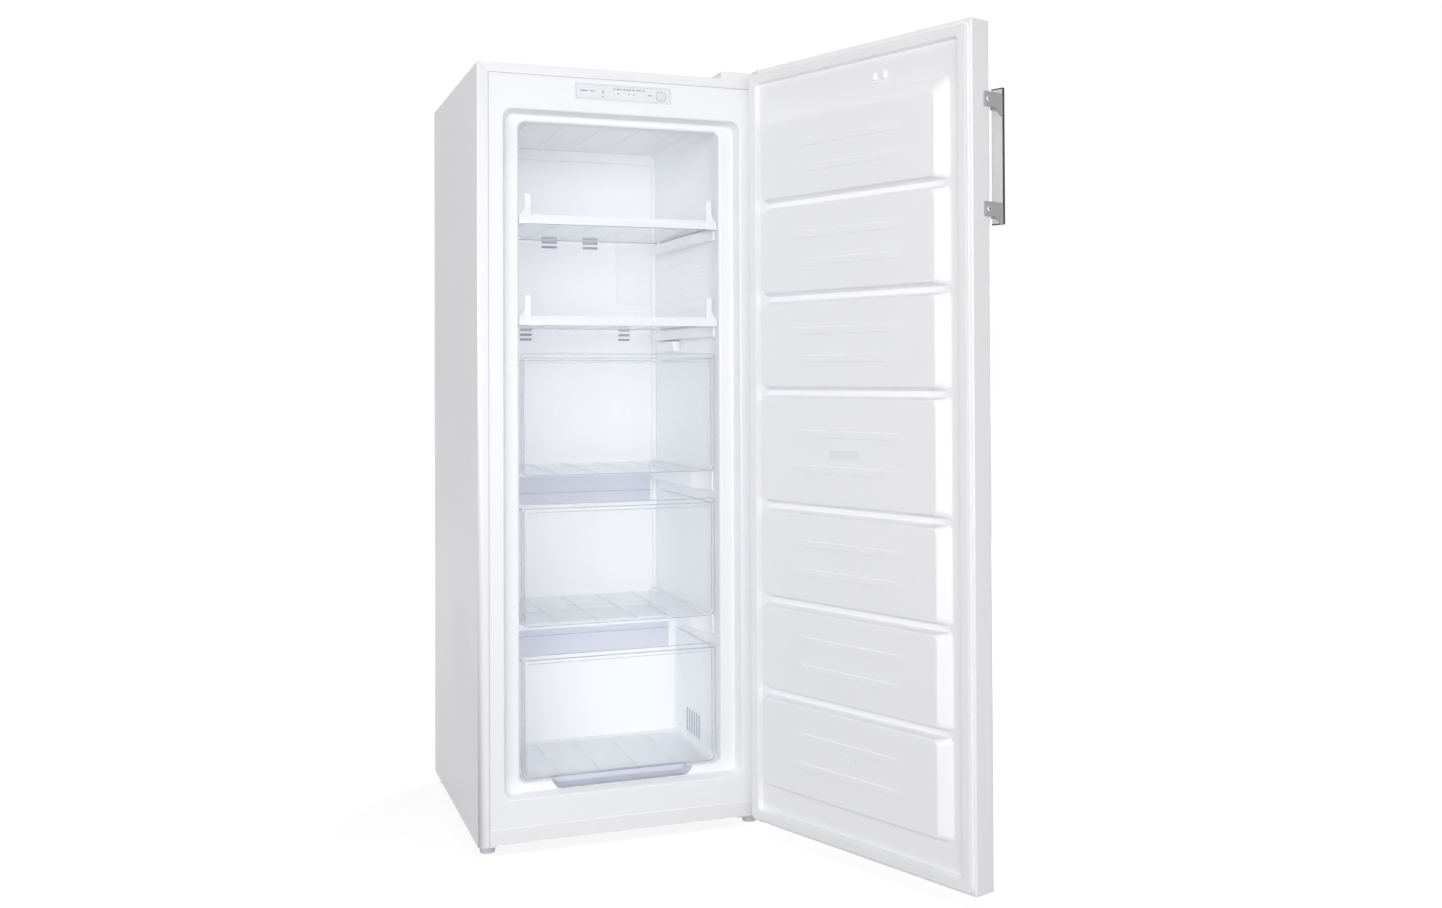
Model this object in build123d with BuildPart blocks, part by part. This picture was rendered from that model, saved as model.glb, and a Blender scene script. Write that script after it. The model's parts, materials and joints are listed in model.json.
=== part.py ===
from build123d import *
import os

# Upright freezer with its door standing open, three drawers and two shelves.
# X runs from the left side to the right, Y from the front to the back and Z up, in millimetres.
# The origin is on the floor, under the middle of the cabinet.

# Cabinet: a steel box on four feet
WIDTH = 545.0
DEPTH = 535.0
CABINET_HEIGHT = 1397.0
FOOT_HEIGHT = 19.0
SHEET = 1.0
SHELL_RADIUS = 2.0
SIDE_FLANGE = 21.0
TOP_FLANGE = 18.0
BOTTOM_FLANGE = 27.0
REAR_FLANGE = 11.5
FLANGE_LAP = 10.0
RAIL_DEPTH = 45.0

# Compartment: a plastic liner with a stepped mouth that the door's liner reaches into
LINER = 2.0
SIDE_WALL = 80.6
FLOOR_WALL = 98.0
CEILING_WALL = 81.0
BACK_WALL = 55.0
LINER_RADIUS = 12.0
MOUTH_SIDE = 47.5
MOUTH_BOTTOM = 77.0
MOUTH_TOP = 80.5
MOUTH_DEPTH = 28.0
MOUTH_DRAFT = 5.0
MOUTH_RADIUS = 18.0
LIP_DROP = 18.0
LIP_THICKNESS = 27.0
NOTCH_WIDTH = 250.0
NOTCH_DROP = 13.0
NOTCH_FLARE = 15.0
NOTCH_DEPTH = 34.0

# Machine compartment at the bottom of the back
MACHINE_DEPTH = 163.0
MACHINE_HEIGHT = 275.0
MACHINE_INSULATION = 58.0
BASE_SHEET = 1.5

# Air duct on the back wall
DUCT_DEPTH = 34.0
DUCT_COVER = 2.5
DUCT_EMBOSS = 3.0
DUCT_MARGIN = 8.4
DUCT_TOP_MARGIN = 21.0
DUCT_FIT = 0.4
VENT_SPACINGS = (214.0, 89.0)
VENT_WIDTHS = (26.0, 34.0)
VENT_OFFSETS = (12.0, 0.0)
VENT_DROPS = (11.0, 0.0)
VENT_SLOT = 5.0
VENT_PITCH = 10.0
VENT_SLOTS = 3
SENSOR_COVER_WIDTH = 77.0
SENSOR_COVER_HEIGHT = 134.0
SENSOR_COVER_THICKNESS = 2.0
SENSOR_COVER_EDGE = 2.0
SENSOR_COVER_RISE = 8.5

# Evaporator, its fan, its heater and the drain
EVAPORATOR_SIDE_GAP = 26.9
EVAPORATOR_HEIGHT = 200.0
EVAPORATOR_DEPTH = 22.0
EVAPORATOR_FINS = 24
EVAPORATOR_TUBES = 6
EVAPORATOR_TUBE = 8.0
EVAPORATOR_RISE = 225.0
FIN_THICKNESS = 1.0
HEATER_DIAMETER = 8.0
HEATER_DROP = 30.0
HEATER_HOLDER = 14.0
FAN_DIAMETER = 96.0
FAN_HUB = 30.0
FAN_BLADES = 5
FAN_BLADE_THICKNESS = 2.0
FAN_BLADE_WIDTH = 26.0
FAN_BLADE_PITCH = 20.0
FAN_LENGTH = 11.0
FAN_MOTOR = 42.0
FAN_MOTOR_LENGTH = 13.0
FAN_AXLE = 3.0
FAN_GAP = 1.0
FAN_DROP = 256.0
DRAIN_DIAMETER = 20.0
DRAIN_WALL = 1.5
DRAIN_REACH = 43.0

# Drawers
DRAWERS = 3
DRAWER_HEIGHT = 224.5
DRAWER_PITCH = 276.0
DRAWER_LIFT = 1.5
DRAWER_SETBACK = 41.0
DRAWER_SIDE_GAP = 5.4
DRAWER_BACK_GAP = 51.0
DRAWER_HUMP_GAP = 25.0
DRAWER_FRONT = 4.0
DRAWER_FRONT_RADIUS = 14.0
DRAWER_FRONT_TOP_RADIUS = 5.0
DRAWER_LIP_HEIGHT = 8.3
DRAWER_LIP_REACH = 4.0
TUB_SIDE_GAP = 10.9
TUB_WALL = 2.5
TUB_DRAFT = 4.0
TUB_RADIUS = 15.0
TUB_BOTTOM_RADIUS = 3.0
TUB_RIM_WIDTH = 5.0
TUB_LIFT = 0.5
TUB_RIBS = 4
TUB_RIB_PITCH = 75.0
TUB_RIB_WIDTH = 3.0
TUB_RIB_HEIGHT = 1.0
TUB_RIB_INSET = 20.0
DRAWER_RAIL_WIDTH = 19.9
DRAWER_RAIL_HEIGHT = 38.0
RAIL_SETBACK = 46.0
STOP_REACH = 16.0
STOP_HEIGHT = 22.0
STOP_LENGTH = 115.0
STOP_BACK = 58.0

# Shelves
SHELVES = 2
SHELF_HEADROOM = 52.0
SHELF_SPACING = 185.5
SHELF_SETBACK = 34.0
SHELF_BACK_GAP = 46.0
SHELF_SIDE_GAP = 5.9
SHELF_THICKNESS = 3.0
SHELF_RUNNER_HEIGHT = 4.0
SHELF_RUNNER_WIDTH = 10.0
SHELF_RIBS = 4
SHELF_RIB_PITCH = 75.0
SHELF_RIB_WIDTH = 3.0
SHELF_RIB_HEIGHT = 2.0
TRIM_HEIGHT = 17.5
TRIM_THICKNESS = 8.0
TRIM_SIDE_GAP = 1.4
TRIM_GROOVE = 4.0
TAB_WIDTH = 11.0
TAB_HEIGHT = 37.5
TAB_THICKNESS = 4.0
SHELF_RAIL_WIDTH = 23.0
SHELF_RAIL_HEIGHT = 19.0
SHELF_SEAT = 0.5

# Control panel over the mouth
PANEL_WIDTH = 183.0
PANEL_HEIGHT = 30.0
PANEL_OFFSET = -2.45
PANEL_DROP = 26.0
PANEL_THICKNESS = 2.5
PANEL_PROUD = 1.5
PANEL_RADIUS = 3.0
PANEL_ROW_DROP = 1.5
HOUSING_MARGIN = 5.0
HOUSING_DEPTH = 18.0
HOUSING_WALL = 1.5
BOARD_WIDTH = 150.0
BOARD_HEIGHT = 16.0
BOARD_THICKNESS = 1.6
BOARD_SETBACK = 6.0
BOARD_RIB_SPACING = 110.0
BUTTON_DIAMETER = 11.6
BUTTON_OFFSET = 72.0
BUTTON_PROUD = 2.0
BUTTON_LENGTH = 7.0
BUTTON_FLANGE = 14.0
BUTTON_FLANGE_THICKNESS = 1.5
BUTTON_GAP = 0.3
SWITCH_NUB = 3.0
BUTTON_TRAVEL = 1.0
LENS_DIAMETER = 4.0
LENS_OFFSETS = (-39.0, 20.0)

# Door
DOOR_THICKNESS = 47.0
DOOR_GAP = 10.0
DOOR_RISE = 11.0
DOOR_LIFT = 1.0
DOOR_RADIUS = 8.0
DOOR_SKIN = 0.8
DOOR_RETURN = 14.0
DOOR_CAP = 5.0
DOOR_PLUG = 17.0
DOOR_LINER = 1.5
OPEN_ANGLE = 110.3

# Raised blocks of the door's liner
BLOCK_PROPORTIONS = (140.0, 152.0, 151.0, 187.0, 153.0, 149.0, 158.0)
BLOCK_GROOVE = 21.0
BLOCK_PROUD = 18.0
BLOCK_FREE_SIDE = 48.0
BLOCK_FREE_RUN = 18.0
BLOCK_HINGE_SIDE = 45.0
BLOCK_HINGE_RUN = 8.0
BLOCK_BOTTOM = 82.0
BLOCK_END_RUN = 5.0
BLOCK_TOP_RUN = 22.0
BLOCK_RADIUS = 11.0
BAND_WIDTH = 290.0
BAND_HEIGHT = 13.0
BAND_PROUD = 0.8
BANDS = 2
HUMP_OFFSETS = (189.0, 213.0)
HUMP_WIDTH = 10.0
HUMP_HEIGHT = 12.0
HUMP_PROUD = 5.0
HUMP_DROP = 56.0

# Gasket
GASKET_MARGIN = 6.0
GASKET_WIDTH = 21.0
GASKET_CLEARANCE = 0.8
GASKET_RADIUS = 6.0
GASKET_EDGE = 2.0
GASKET_TOP = 9.0
GASKET_BOTTOM = 6.0
MAGNET_WIDTH = 14.0
MAGNET_THICKNESS = 2.5
MAGNET_COVER = 1.5

# Handle on the free side of the door
BAR_LENGTH = 220.0
BAR_WIDTH = 26.0
BAR_THICKNESS = 6.0
BAR_STANDOFF = 25.0
BAR_CAP = 2.0
BRACKET_HEIGHT = 24.4
BRACKET_THICKNESS = 4.0
BRACKET_GRIP = 19.0
BRACKET_SPACING = 178.5
BRACKET_DROP = 104.3
BRACKET_TONGUE = 20.0
GUSSET_HEIGHT = 12.0
HANDLE_SCREW = 4.0
HANDLE_SCREW_HEAD = 7.0
HANDLE_SCREW_HEAD_HEIGHT = 1.5
HANDLE_SCREW_INSET = 8.0

# Hinges
PIVOT_INSET = 12.0
PIVOT_FORWARD = 30.0
PIN_DIAMETER = 9.8
PIN_CLEARANCE = 0.1
PIN_LENGTH = 10.0
BUSH_WALL = 3.0
BUSH_LENGTH = 11.0
HINGE_PLATE = 3.0
HINGE_PLATE_WIDTH = 76.0
HINGE_PLATE_LENGTH = 70.0
HINGE_MARGIN = 4.0
ARM_LAP = 30.0
NOTCH_HEIGHT = 9.0
NOTCH_LENGTH = 30.0
HINGE_COVER_HEIGHT = 14.0
HINGE_COVER_WALL = 1.6
HINGE_COVER_GAP = 0.3
HINGE_SCREW = 5.0
HINGE_SCREW_HEAD = 9.0
HINGE_SCREW_HEAD_HEIGHT = 4.0
HINGE_SCREW_INSETS = ((60.0, 45.0), (40.0, 22.0))

# Feet
FOOT_DIAMETER = 30.0
FOOT_INSET = 22.0
FOOT_SETBACK = 32.0
FOOT_GAP = 0.3
STUD_DIAMETER = 8.0
STUD_CLEARANCE = 0.1
STUD_LENGTH = 14.0
FOOT_NUT = 14.0
FOOT_NUT_HEIGHT = 6.0
STUD_POCKET = 18.0
REAR_STUD_LENGTH = 8.0

# Machinery
COMPRESSOR_INSET = 152.5
COMPRESSOR_LENGTH = 150.0
COMPRESSOR_WIDTH = 118.0
COMPRESSOR_HEIGHT = 165.0
COMPRESSOR_ROUNDING = 30.0
COMPRESSOR_PLATE = (190.0, 110.0, 2.5)
GROMMET_DIAMETER = 22.0
GROMMET_HEIGHT = 14.0
GROMMET_SPACING = (164.0, 84.0)
RELAY_SIZE = (34.0, 46.0, 52.0)
RELAY_RISE = 50.0
PAN_SIZE = (130.0, 112.0, 22.0)
PAN_WALL = 2.0
COIL_INSET = 32.5
COIL_WIDTH = 180.0
COIL_TUBE = 4.8
COIL_PASSES = 7
COIL_PITCH = 30.0
COIL_RISE = 40.0
COIL_BEND = 14.0
COIL_STRIP = (3.0, 20.0)
COIL_STRIP_INSETS = (72.5, 172.5)
DRIER_INSET = 252.5
DRIER_DIAMETER = 22.0
DRIER_LENGTH = 110.0
DRIER_RISE = 90.0
DRIER_CLIP = 12.0
GLAND_INSET = 47.5
GLAND_RISE = 250.0
GLAND_DIAMETER = 16.0
GLAND_BORE = 8.0
GLAND_LENGTH = 8.0
LOUVRE_WIDTH = 60.0
LOUVRE_HEIGHT = 6.0
LOUVRE_PITCH_X = 78.0
LOUVRE_PITCH_Z = 18.0
LOUVRE_COLUMNS = 5
LOUVRE_ROWS = 9

# Planes that follow from the sizes above
SIDE = WIDTH / 2
FRONT = -DEPTH / 2
BACK = DEPTH / 2
BASE = FOOT_HEIGHT
TOP = BASE + CABINET_HEIGHT

LINER_FRONT = FRONT + SHEET
FLOOR = BASE + FLOOR_WALL
CEILING = TOP - CEILING_WALL
MOUTH_CEILING = CEILING - LIP_DROP
INNER_SIDE = SIDE - SIDE_WALL
INNER_BACK = BACK - BACK_WALL
RIM_FRONT = FRONT + MOUTH_DEPTH

MACHINE_FRONT = BACK - MACHINE_DEPTH
MACHINE_TOP = BASE + MACHINE_HEIGHT
MACHINE_MIDDLE = (MACHINE_FRONT + BACK) / 2
BASE_TOP = BASE + BASE_SHEET
COMPRESSOR_X = SIDE - COMPRESSOR_INSET
COIL_LEFT = -SIDE + COIL_INSET
COIL_RIGHT = COIL_LEFT + COIL_WIDTH
DRIER_X = -SIDE + DRIER_INSET
GLAND_X = -SIDE + GLAND_INSET
HUMP_FRONT = MACHINE_FRONT - MACHINE_INSULATION - LINER
HUMP_TOP = MACHINE_TOP + MACHINE_INSULATION + LINER

DUCT_FRONT = INNER_BACK - DUCT_DEPTH
DUCT_BASE = DUCT_FRONT + DUCT_EMBOSS
DUCT_MIDDLE = (DUCT_BASE + DUCT_COVER + INNER_BACK) / 2
DUCT_SIDE = INNER_SIDE - DUCT_MARGIN
EVAPORATOR_WIDTH = 2 * (INNER_SIDE - EVAPORATOR_SIDE_GAP)

DRAWER_BOTTOMS = [FLOOR + DRAWER_LIFT + DRAWER_PITCH * level for level in range(DRAWERS)]
STACK_TOP = DRAWER_BOTTOMS[-1] + DRAWER_HEIGHT
DRAWER_FACE = FRONT + DRAWER_SETBACK
TUB_FRONT = DRAWER_FACE + DRAWER_FRONT
SHELF_LEVELS = [STACK_TOP + SHELF_HEADROOM + SHELF_SPACING * level for level in range(SHELVES)]
SHELF_FRONT = FRONT + SHELF_SETBACK
SHELF_BACK = DUCT_FRONT - SHELF_BACK_GAP

PANEL_Z = TOP - PANEL_DROP - PANEL_HEIGHT / 2
PANEL_FRONT = LINER_FRONT - PANEL_PROUD
PANEL_BACK = PANEL_FRONT + PANEL_THICKNESS
HOUSING_BACK = PANEL_BACK + HOUSING_DEPTH
PANEL_ROW = PANEL_Z - PANEL_ROW_DROP
BOARD_FRONT = PANEL_BACK + BOARD_SETBACK

DOOR_BOTTOM = BASE + DOOR_LIFT
DOOR_TOP = TOP + DOOR_RISE
DOOR_INNER = FRONT - DOOR_GAP
DOOR_OUTER = DOOR_INNER - DOOR_THICKNESS
PIVOT_X = SIDE - PIVOT_INSET
PIVOT_Y = FRONT - PIVOT_FORWARD
HINGE_AXIS = Axis((PIVOT_X, PIVOT_Y, 0), (0, 0, 1))
NOTCH_FLOOR = DOOR_TOP - NOTCH_HEIGHT
GASKET_FACE = FRONT - GASKET_CLEARANCE

HINGE_SCREW_SPOTS = [(SIDE - inset, FRONT + setback) for inset, setback in HINGE_SCREW_INSETS]
FRONT_FEET = [(-SIDE + FOOT_INSET, FRONT + FOOT_SETBACK), (SIDE - FOOT_INSET, FRONT + FOOT_SETBACK)]
REAR_FEET = [(-SIDE + FOOT_INSET, BACK - FOOT_SETBACK), (SIDE - FOOT_INSET, BACK - FOOT_SETBACK)]


def middle(pair):
    """Middle of a low and high value."""
    return (pair[0] + pair[1]) / 2


def span(pair):
    """Distance from a low to a high value."""
    return pair[1] - pair[0]


def both(half):
    """Low and high value on either side of zero."""
    return (-half, half)


def block(x, y, z, mode=Mode.ADD):
    """Box between low and high values on each axis."""
    with Locations((middle(x), middle(y), middle(z))):
        Box(span(x), span(y), span(z), mode=mode)


def upright_sheet(x, y, z, radius, mode=Mode.ADD):
    """Box whose four edges along Y are rounded."""
    with BuildSketch(Plane.XZ.offset(-y[1]), mode=Mode.PRIVATE) as outline:
        with Locations((middle(x), middle(z))):
            RectangleRounded(span(x), span(z), radius)
    extrude(to_extrude=outline.sketch, amount=span(y), mode=mode)


def tapered(y_start, x_start, z_start, y_end, x_end, z_end, radius, mode=Mode.ADD):
    """Straight-sided form between two rounded rectangles that face along Y."""
    sections = []
    for y, x, z in ((y_start, x_start, z_start), (y_end, x_end, z_end)):
        with BuildSketch(Plane.XZ.offset(-y), mode=Mode.PRIVATE) as outline:
            with Locations((middle(x), middle(z))):
                RectangleRounded(span(x), span(z), radius)
        sections.append(outline.sketch.face())
    loft(sections, ruled=True, mode=mode)


def post(x, y, z, diameter, mode=Mode.ADD):
    """Upright cylinder between a low and a high value of Z."""
    with Locations((x, y, middle(z))):
        Cylinder(diameter / 2, span(z), mode=mode)


def rod(x, y, z, diameter, mode=Mode.ADD):
    """Cylinder along Y between a low and a high value."""
    with Locations(Location((x, middle(y), z), (90, 0, 0))):
        Cylinder(diameter / 2, span(y), mode=mode)


# Cabinet structure


def build_cabinet_shell():
    """Side, top and side of one folded sheet, with flanges at the front and the back."""
    with BuildPart() as cabinet_shell:
        block(both(SIDE), (FRONT, BACK - SHEET), (BASE, TOP))
        fillet(cabinet_shell.edges().filter_by(Axis.Y).group_by(Axis.Z)[-1], SHELL_RADIUS)
        block(both(SIDE - SHEET), (LINER_FRONT, BACK - 2 * SHEET), (BASE, TOP - SHEET), Mode.SUBTRACT)
        block(both(SIDE - SIDE_FLANGE), (FRONT, LINER_FRONT), (BASE, TOP - TOP_FLANGE), Mode.SUBTRACT)
        inner_rear = both(SIDE - REAR_FLANGE - SHEET)
        block(inner_rear, (BACK - 2 * SHEET, BACK - SHEET), (BASE, TOP - REAR_FLANGE), Mode.SUBTRACT)
        for x, y in HINGE_SCREW_SPOTS:
            post(x, y, (TOP - SHEET, TOP), HINGE_SCREW, Mode.SUBTRACT)
    return cabinet_shell.part


def build_bottom_front_rail():
    """Angle that joins the sides along the bottom of the front and carries the front feet."""
    left_foot = FRONT_FEET[0]
    with BuildPart() as bottom_front_rail:
        block(both(SIDE - SIDE_FLANGE), (FRONT, LINER_FRONT), (BASE, BASE + BOTTOM_FLANGE))
        block(both(SIDE - SHEET), (LINER_FRONT, LINER_FRONT + RAIL_DEPTH), (BASE, BASE + SHEET))
        pad = (left_foot[0] - FOOT_DIAMETER / 2, left_foot[0] + FOOT_DIAMETER / 2)
        block(pad, (LINER_FRONT, LINER_FRONT + RAIL_DEPTH), (BASE - HINGE_PLATE, BASE))
        for x, y in FRONT_FEET:
            post(x, y, (BASE + SHEET, BASE + SHEET + FOOT_NUT_HEIGHT), FOOT_NUT)
            hole = STUD_DIAMETER + 2 * STUD_CLEARANCE
            post(x, y, (BASE - HINGE_PLATE, BASE + SHEET + FOOT_NUT_HEIGHT), hole, Mode.SUBTRACT)
        for x, y in HINGE_SCREW_SPOTS:
            post(x, y, (BASE, BASE + SHEET), HINGE_SCREW, Mode.SUBTRACT)
    return bottom_front_rail.part


def build_bottom_panel():
    """Flat sheet under the insulation, from the front rail to the machine compartment."""
    with BuildPart() as bottom_panel:
        block(both(SIDE - SHEET), (LINER_FRONT + RAIL_DEPTH, MACHINE_FRONT), (BASE, BASE + SHEET))
    return bottom_panel.part


def build_back_panel():
    """Sheet that closes the back above the machine compartment."""
    with BuildPart() as back_panel:
        width = both(SIDE - REAR_FLANGE)
        block(width, (BACK - SHEET, BACK), (MACHINE_TOP, TOP - REAR_FLANGE + FLANGE_LAP))
    return back_panel.part


def build_compressor_base():
    """Floor of the machine compartment, with holes for the rear feet."""
    with BuildPart() as compressor_base:
        block(both(SIDE - SHEET), (MACHINE_FRONT, BACK - 2 * SHEET), (BASE, BASE_TOP))
        tongue = both(SIDE - REAR_FLANGE - SHEET)
        block(tongue, (BACK - 2 * SHEET, BACK - SHEET), (BASE, BASE_TOP))
        for x, y in REAR_FEET:
            post(x, y, (BASE, BASE_TOP), STUD_DIAMETER, Mode.SUBTRACT)
    return compressor_base.part


def build_machine_wall():
    """Front wall and roof of the machine compartment, with a hole for the drain."""
    with BuildPart() as machine_wall:
        block(both(SIDE - SHEET), (MACHINE_FRONT, MACHINE_FRONT + SHEET), (BASE_TOP, MACHINE_TOP))
        block(both(SIDE - SHEET), (MACHINE_FRONT, BACK - 2 * SHEET), (MACHINE_TOP - SHEET, MACHINE_TOP))
        post(COMPRESSOR_X, DUCT_MIDDLE, (MACHINE_TOP - SHEET, MACHINE_TOP), DRAIN_DIAMETER, Mode.SUBTRACT)
    return machine_wall.part


def build_machine_cover():
    """Louvred sheet over the back of the machine compartment."""
    with BuildPart() as machine_cover:
        block(both(SIDE - REAR_FLANGE), (BACK - SHEET, BACK), (BASE_TOP, MACHINE_TOP))
        slots_middle = (BASE + GLAND_RISE - GLAND_DIAMETER) / 2 + BASE_SHEET
        with Locations((0, BACK - SHEET / 2, slots_middle)):
            with GridLocations(LOUVRE_PITCH_X, 1, LOUVRE_COLUMNS, 1):
                for row in range(LOUVRE_ROWS):
                    rise = (row - (LOUVRE_ROWS - 1) / 2) * LOUVRE_PITCH_Z
                    with Locations((0, 0, rise)):
                        Box(LOUVRE_WIDTH, SHEET, LOUVRE_HEIGHT, mode=Mode.SUBTRACT)
        rod(GLAND_X, (BACK - SHEET, BACK), BASE + GLAND_RISE, GLAND_DIAMETER, Mode.SUBTRACT)
    return machine_cover.part


def build_cavity(grow):
    """Hollow of the compartment, made larger on every side by grow."""
    with BuildPart() as hollow:
        mouth = both(SIDE - MOUTH_SIDE + grow)
        throat = both(SIDE - MOUTH_SIDE - MOUTH_DRAFT + grow)
        mouth_z = (BASE + MOUTH_BOTTOM - grow, TOP - MOUTH_TOP + grow)
        throat_z = (mouth_z[0] + MOUTH_DRAFT, mouth_z[1] - MOUTH_DRAFT)
        rim = RIM_FRONT + grow
        tapered(LINER_FRONT, mouth, mouth_z, rim, throat, throat_z, MOUTH_RADIUS)
        sides = both(INNER_SIDE + grow)
        depth = (LINER_FRONT, INNER_BACK + grow)
        upright_sheet(sides, depth, (FLOOR - grow, MOUTH_CEILING + grow), LINER_RADIUS)
        behind_lip = (RIM_FRONT + LIP_THICKNESS - grow, INNER_BACK + grow)
        upright_sheet(sides, behind_lip, (FLOOR - grow, CEILING + grow), LINER_RADIUS)
        with BuildSketch(Plane.XZ.offset(-RIM_FRONT - NOTCH_DEPTH - grow)) as notch:
            low, high = FLOOR - NOTCH_DROP - grow, FLOOR + LINER_RADIUS
            narrow = NOTCH_WIDTH / 2 + grow
            wide = narrow + NOTCH_FLARE
            with BuildLine():
                Polyline((-narrow, low), (narrow, low), (wide, high), (-wide, high), close=True)
            make_face()
        extrude(amount=NOTCH_DEPTH + grow)
        hump_depth = (HUMP_FRONT + grow, INNER_BACK + LINER_RADIUS)
        hump_height = (FLOOR - LINER_RADIUS, HUMP_TOP - grow)
        block(both(SIDE), hump_depth, hump_height, Mode.SUBTRACT)
    return hollow.part


def panel_opening():
    """Width and height of the housing behind the control panel."""
    x = (PANEL_OFFSET - PANEL_WIDTH / 2 + HOUSING_MARGIN, PANEL_OFFSET + PANEL_WIDTH / 2 - HOUSING_MARGIN)
    z = (PANEL_Z - PANEL_HEIGHT / 2 + HOUSING_MARGIN, PANEL_Z + PANEL_HEIGHT / 2 - HOUSING_MARGIN)
    return x, z


def build_inner_liner():
    """Plastic liner: front flange, stepped mouth and compartment walls in one skin."""
    panel_x, panel_z = panel_opening()
    with BuildPart() as inner_liner:
        height = (BASE + BOTTOM_FLANGE - FLANGE_LAP, TOP - TOP_FLANGE + FLANGE_LAP)
        block(both(SIDE - SIDE_FLANGE + FLANGE_LAP), (LINER_FRONT, LINER_FRONT + LINER), height)
        add(build_cavity(LINER))
        add(build_cavity(0), mode=Mode.SUBTRACT)
        block(panel_x, (LINER_FRONT, LINER_FRONT + LINER), panel_z, Mode.SUBTRACT)
        post(COMPRESSOR_X, DUCT_MIDDLE, (HUMP_TOP - LINER, HUMP_TOP), DRAIN_DIAMETER, Mode.SUBTRACT)
    return inner_liner.part


def build_insulation_foam():
    """Foam between the steel box and the liner."""
    panel_x, panel_z = panel_opening()
    with BuildPart() as insulation_foam:
        foam_depth = (LINER_FRONT + LINER, BACK - 2 * SHEET)
        block(both(SIDE - SHEET), foam_depth, (BASE + SHEET, TOP - SHEET))
        fillet(insulation_foam.edges().filter_by(Axis.Y).group_by(Axis.Z)[-1], SHELL_RADIUS - SHEET)
        rear = both(SIDE - REAR_FLANGE - SHEET)
        block(rear, (BACK - 2 * SHEET, BACK - SHEET), (MACHINE_TOP, TOP - REAR_FLANGE))
        add(build_cavity(LINER), mode=Mode.SUBTRACT)
        block(both(SIDE), (MACHINE_FRONT, BACK), (BASE, MACHINE_TOP), Mode.SUBTRACT)
        block(panel_x, (LINER_FRONT, HOUSING_BACK), panel_z, Mode.SUBTRACT)
        drain = (MACHINE_TOP, HUMP_TOP)
        post(COMPRESSOR_X, DUCT_MIDDLE, drain, DRAIN_DIAMETER, Mode.SUBTRACT)
        for x, y in FRONT_FEET:
            post(x, y, (BASE, BASE + SHEET + STUD_POCKET), FOOT_NUT, Mode.SUBTRACT)
    return insulation_foam.part


# Air duct, evaporator and fan


def vent_rows(top):
    """Middle heights of one stack of vent slots under a given height."""
    return [top - VENT_SLOT / 2 - VENT_PITCH * row for row in range(VENT_SLOTS)]


def build_rear_duct_cover():
    """Embossed cover over the evaporator, with two stacks of slots under each shelf."""
    with BuildPart() as rear_duct_cover:
        height = (HUMP_TOP + DUCT_FIT, CEILING - DUCT_FIT)
        plate = (DUCT_BASE, DUCT_BASE + DUCT_COVER)
        upright_sheet(both(INNER_SIDE - DUCT_FIT), plate, height, LINER_RADIUS)
        foot_z = (height[0] + DUCT_MARGIN, height[1] - DUCT_TOP_MARGIN)
        crest = both(DUCT_SIDE - DUCT_EMBOSS)
        crest_z = (foot_z[0] + DUCT_EMBOSS, foot_z[1] - DUCT_EMBOSS)
        tapered(DUCT_BASE, both(DUCT_SIDE), foot_z, DUCT_FRONT, crest, crest_z, LINER_RADIUS)
        inner = both(DUCT_SIDE - DUCT_EMBOSS - DUCT_COVER)
        inner_z = (crest_z[0] + DUCT_COVER, crest_z[1] - DUCT_COVER)
        hollow = (DUCT_FRONT + DUCT_COVER, DUCT_BASE + DUCT_COVER)
        upright_sheet(inner, hollow, inner_z, LINER_RADIUS - DUCT_COVER, Mode.SUBTRACT)
        for number, level in enumerate(SHELF_LEVELS):
            for z in vent_rows(level + TRIM_HEIGHT - VENT_DROPS[number]):
                with Locations((VENT_OFFSETS[number], DUCT_FRONT + DUCT_COVER / 2, z)):
                    with GridLocations(VENT_SPACINGS[number], 1, 2, 1):
                        Box(VENT_WIDTHS[number], DUCT_COVER, VENT_SLOT, mode=Mode.SUBTRACT)
    return rear_duct_cover.part


def build_sensor_cover():
    """Small flat cover low on the right of the duct, under the upper shelf."""
    right = DUCT_SIDE - DUCT_EMBOSS - SENSOR_COVER_EDGE
    top = SHELF_LEVELS[-1] + SENSOR_COVER_RISE
    with BuildPart() as sensor_cover:
        x = (right - SENSOR_COVER_WIDTH, right)
        y = (DUCT_FRONT - SENSOR_COVER_THICKNESS, DUCT_FRONT)
        upright_sheet(x, y, (top - SENSOR_COVER_HEIGHT, top), PANEL_RADIUS)
    return sensor_cover.part


def evaporator_height():
    """Bottom and top of the evaporator."""
    bottom = HUMP_TOP + EVAPORATOR_RISE
    return bottom, bottom + EVAPORATOR_HEIGHT


def build_evaporator():
    """Upright fins on level tubes, held between two end plates."""
    z = evaporator_height()
    y = (INNER_BACK - EVAPORATOR_DEPTH, INNER_BACK)
    with BuildPart() as evaporator:
        step = EVAPORATOR_WIDTH / (EVAPORATOR_FINS - 1)
        for fin in range(EVAPORATOR_FINS):
            x = -EVAPORATOR_WIDTH / 2 + fin * step
            block((x - FIN_THICKNESS / 2, x + FIN_THICKNESS / 2), y, z)
        rise = EVAPORATOR_HEIGHT / EVAPORATOR_TUBES
        for tube in range(EVAPORATOR_TUBES):
            spot = Location((0, middle(y), z[0] + (tube + 0.5) * rise), (0, 90, 0))
            with Locations(spot):
                Cylinder(EVAPORATOR_TUBE / 2, EVAPORATOR_WIDTH)
    return evaporator.part


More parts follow.
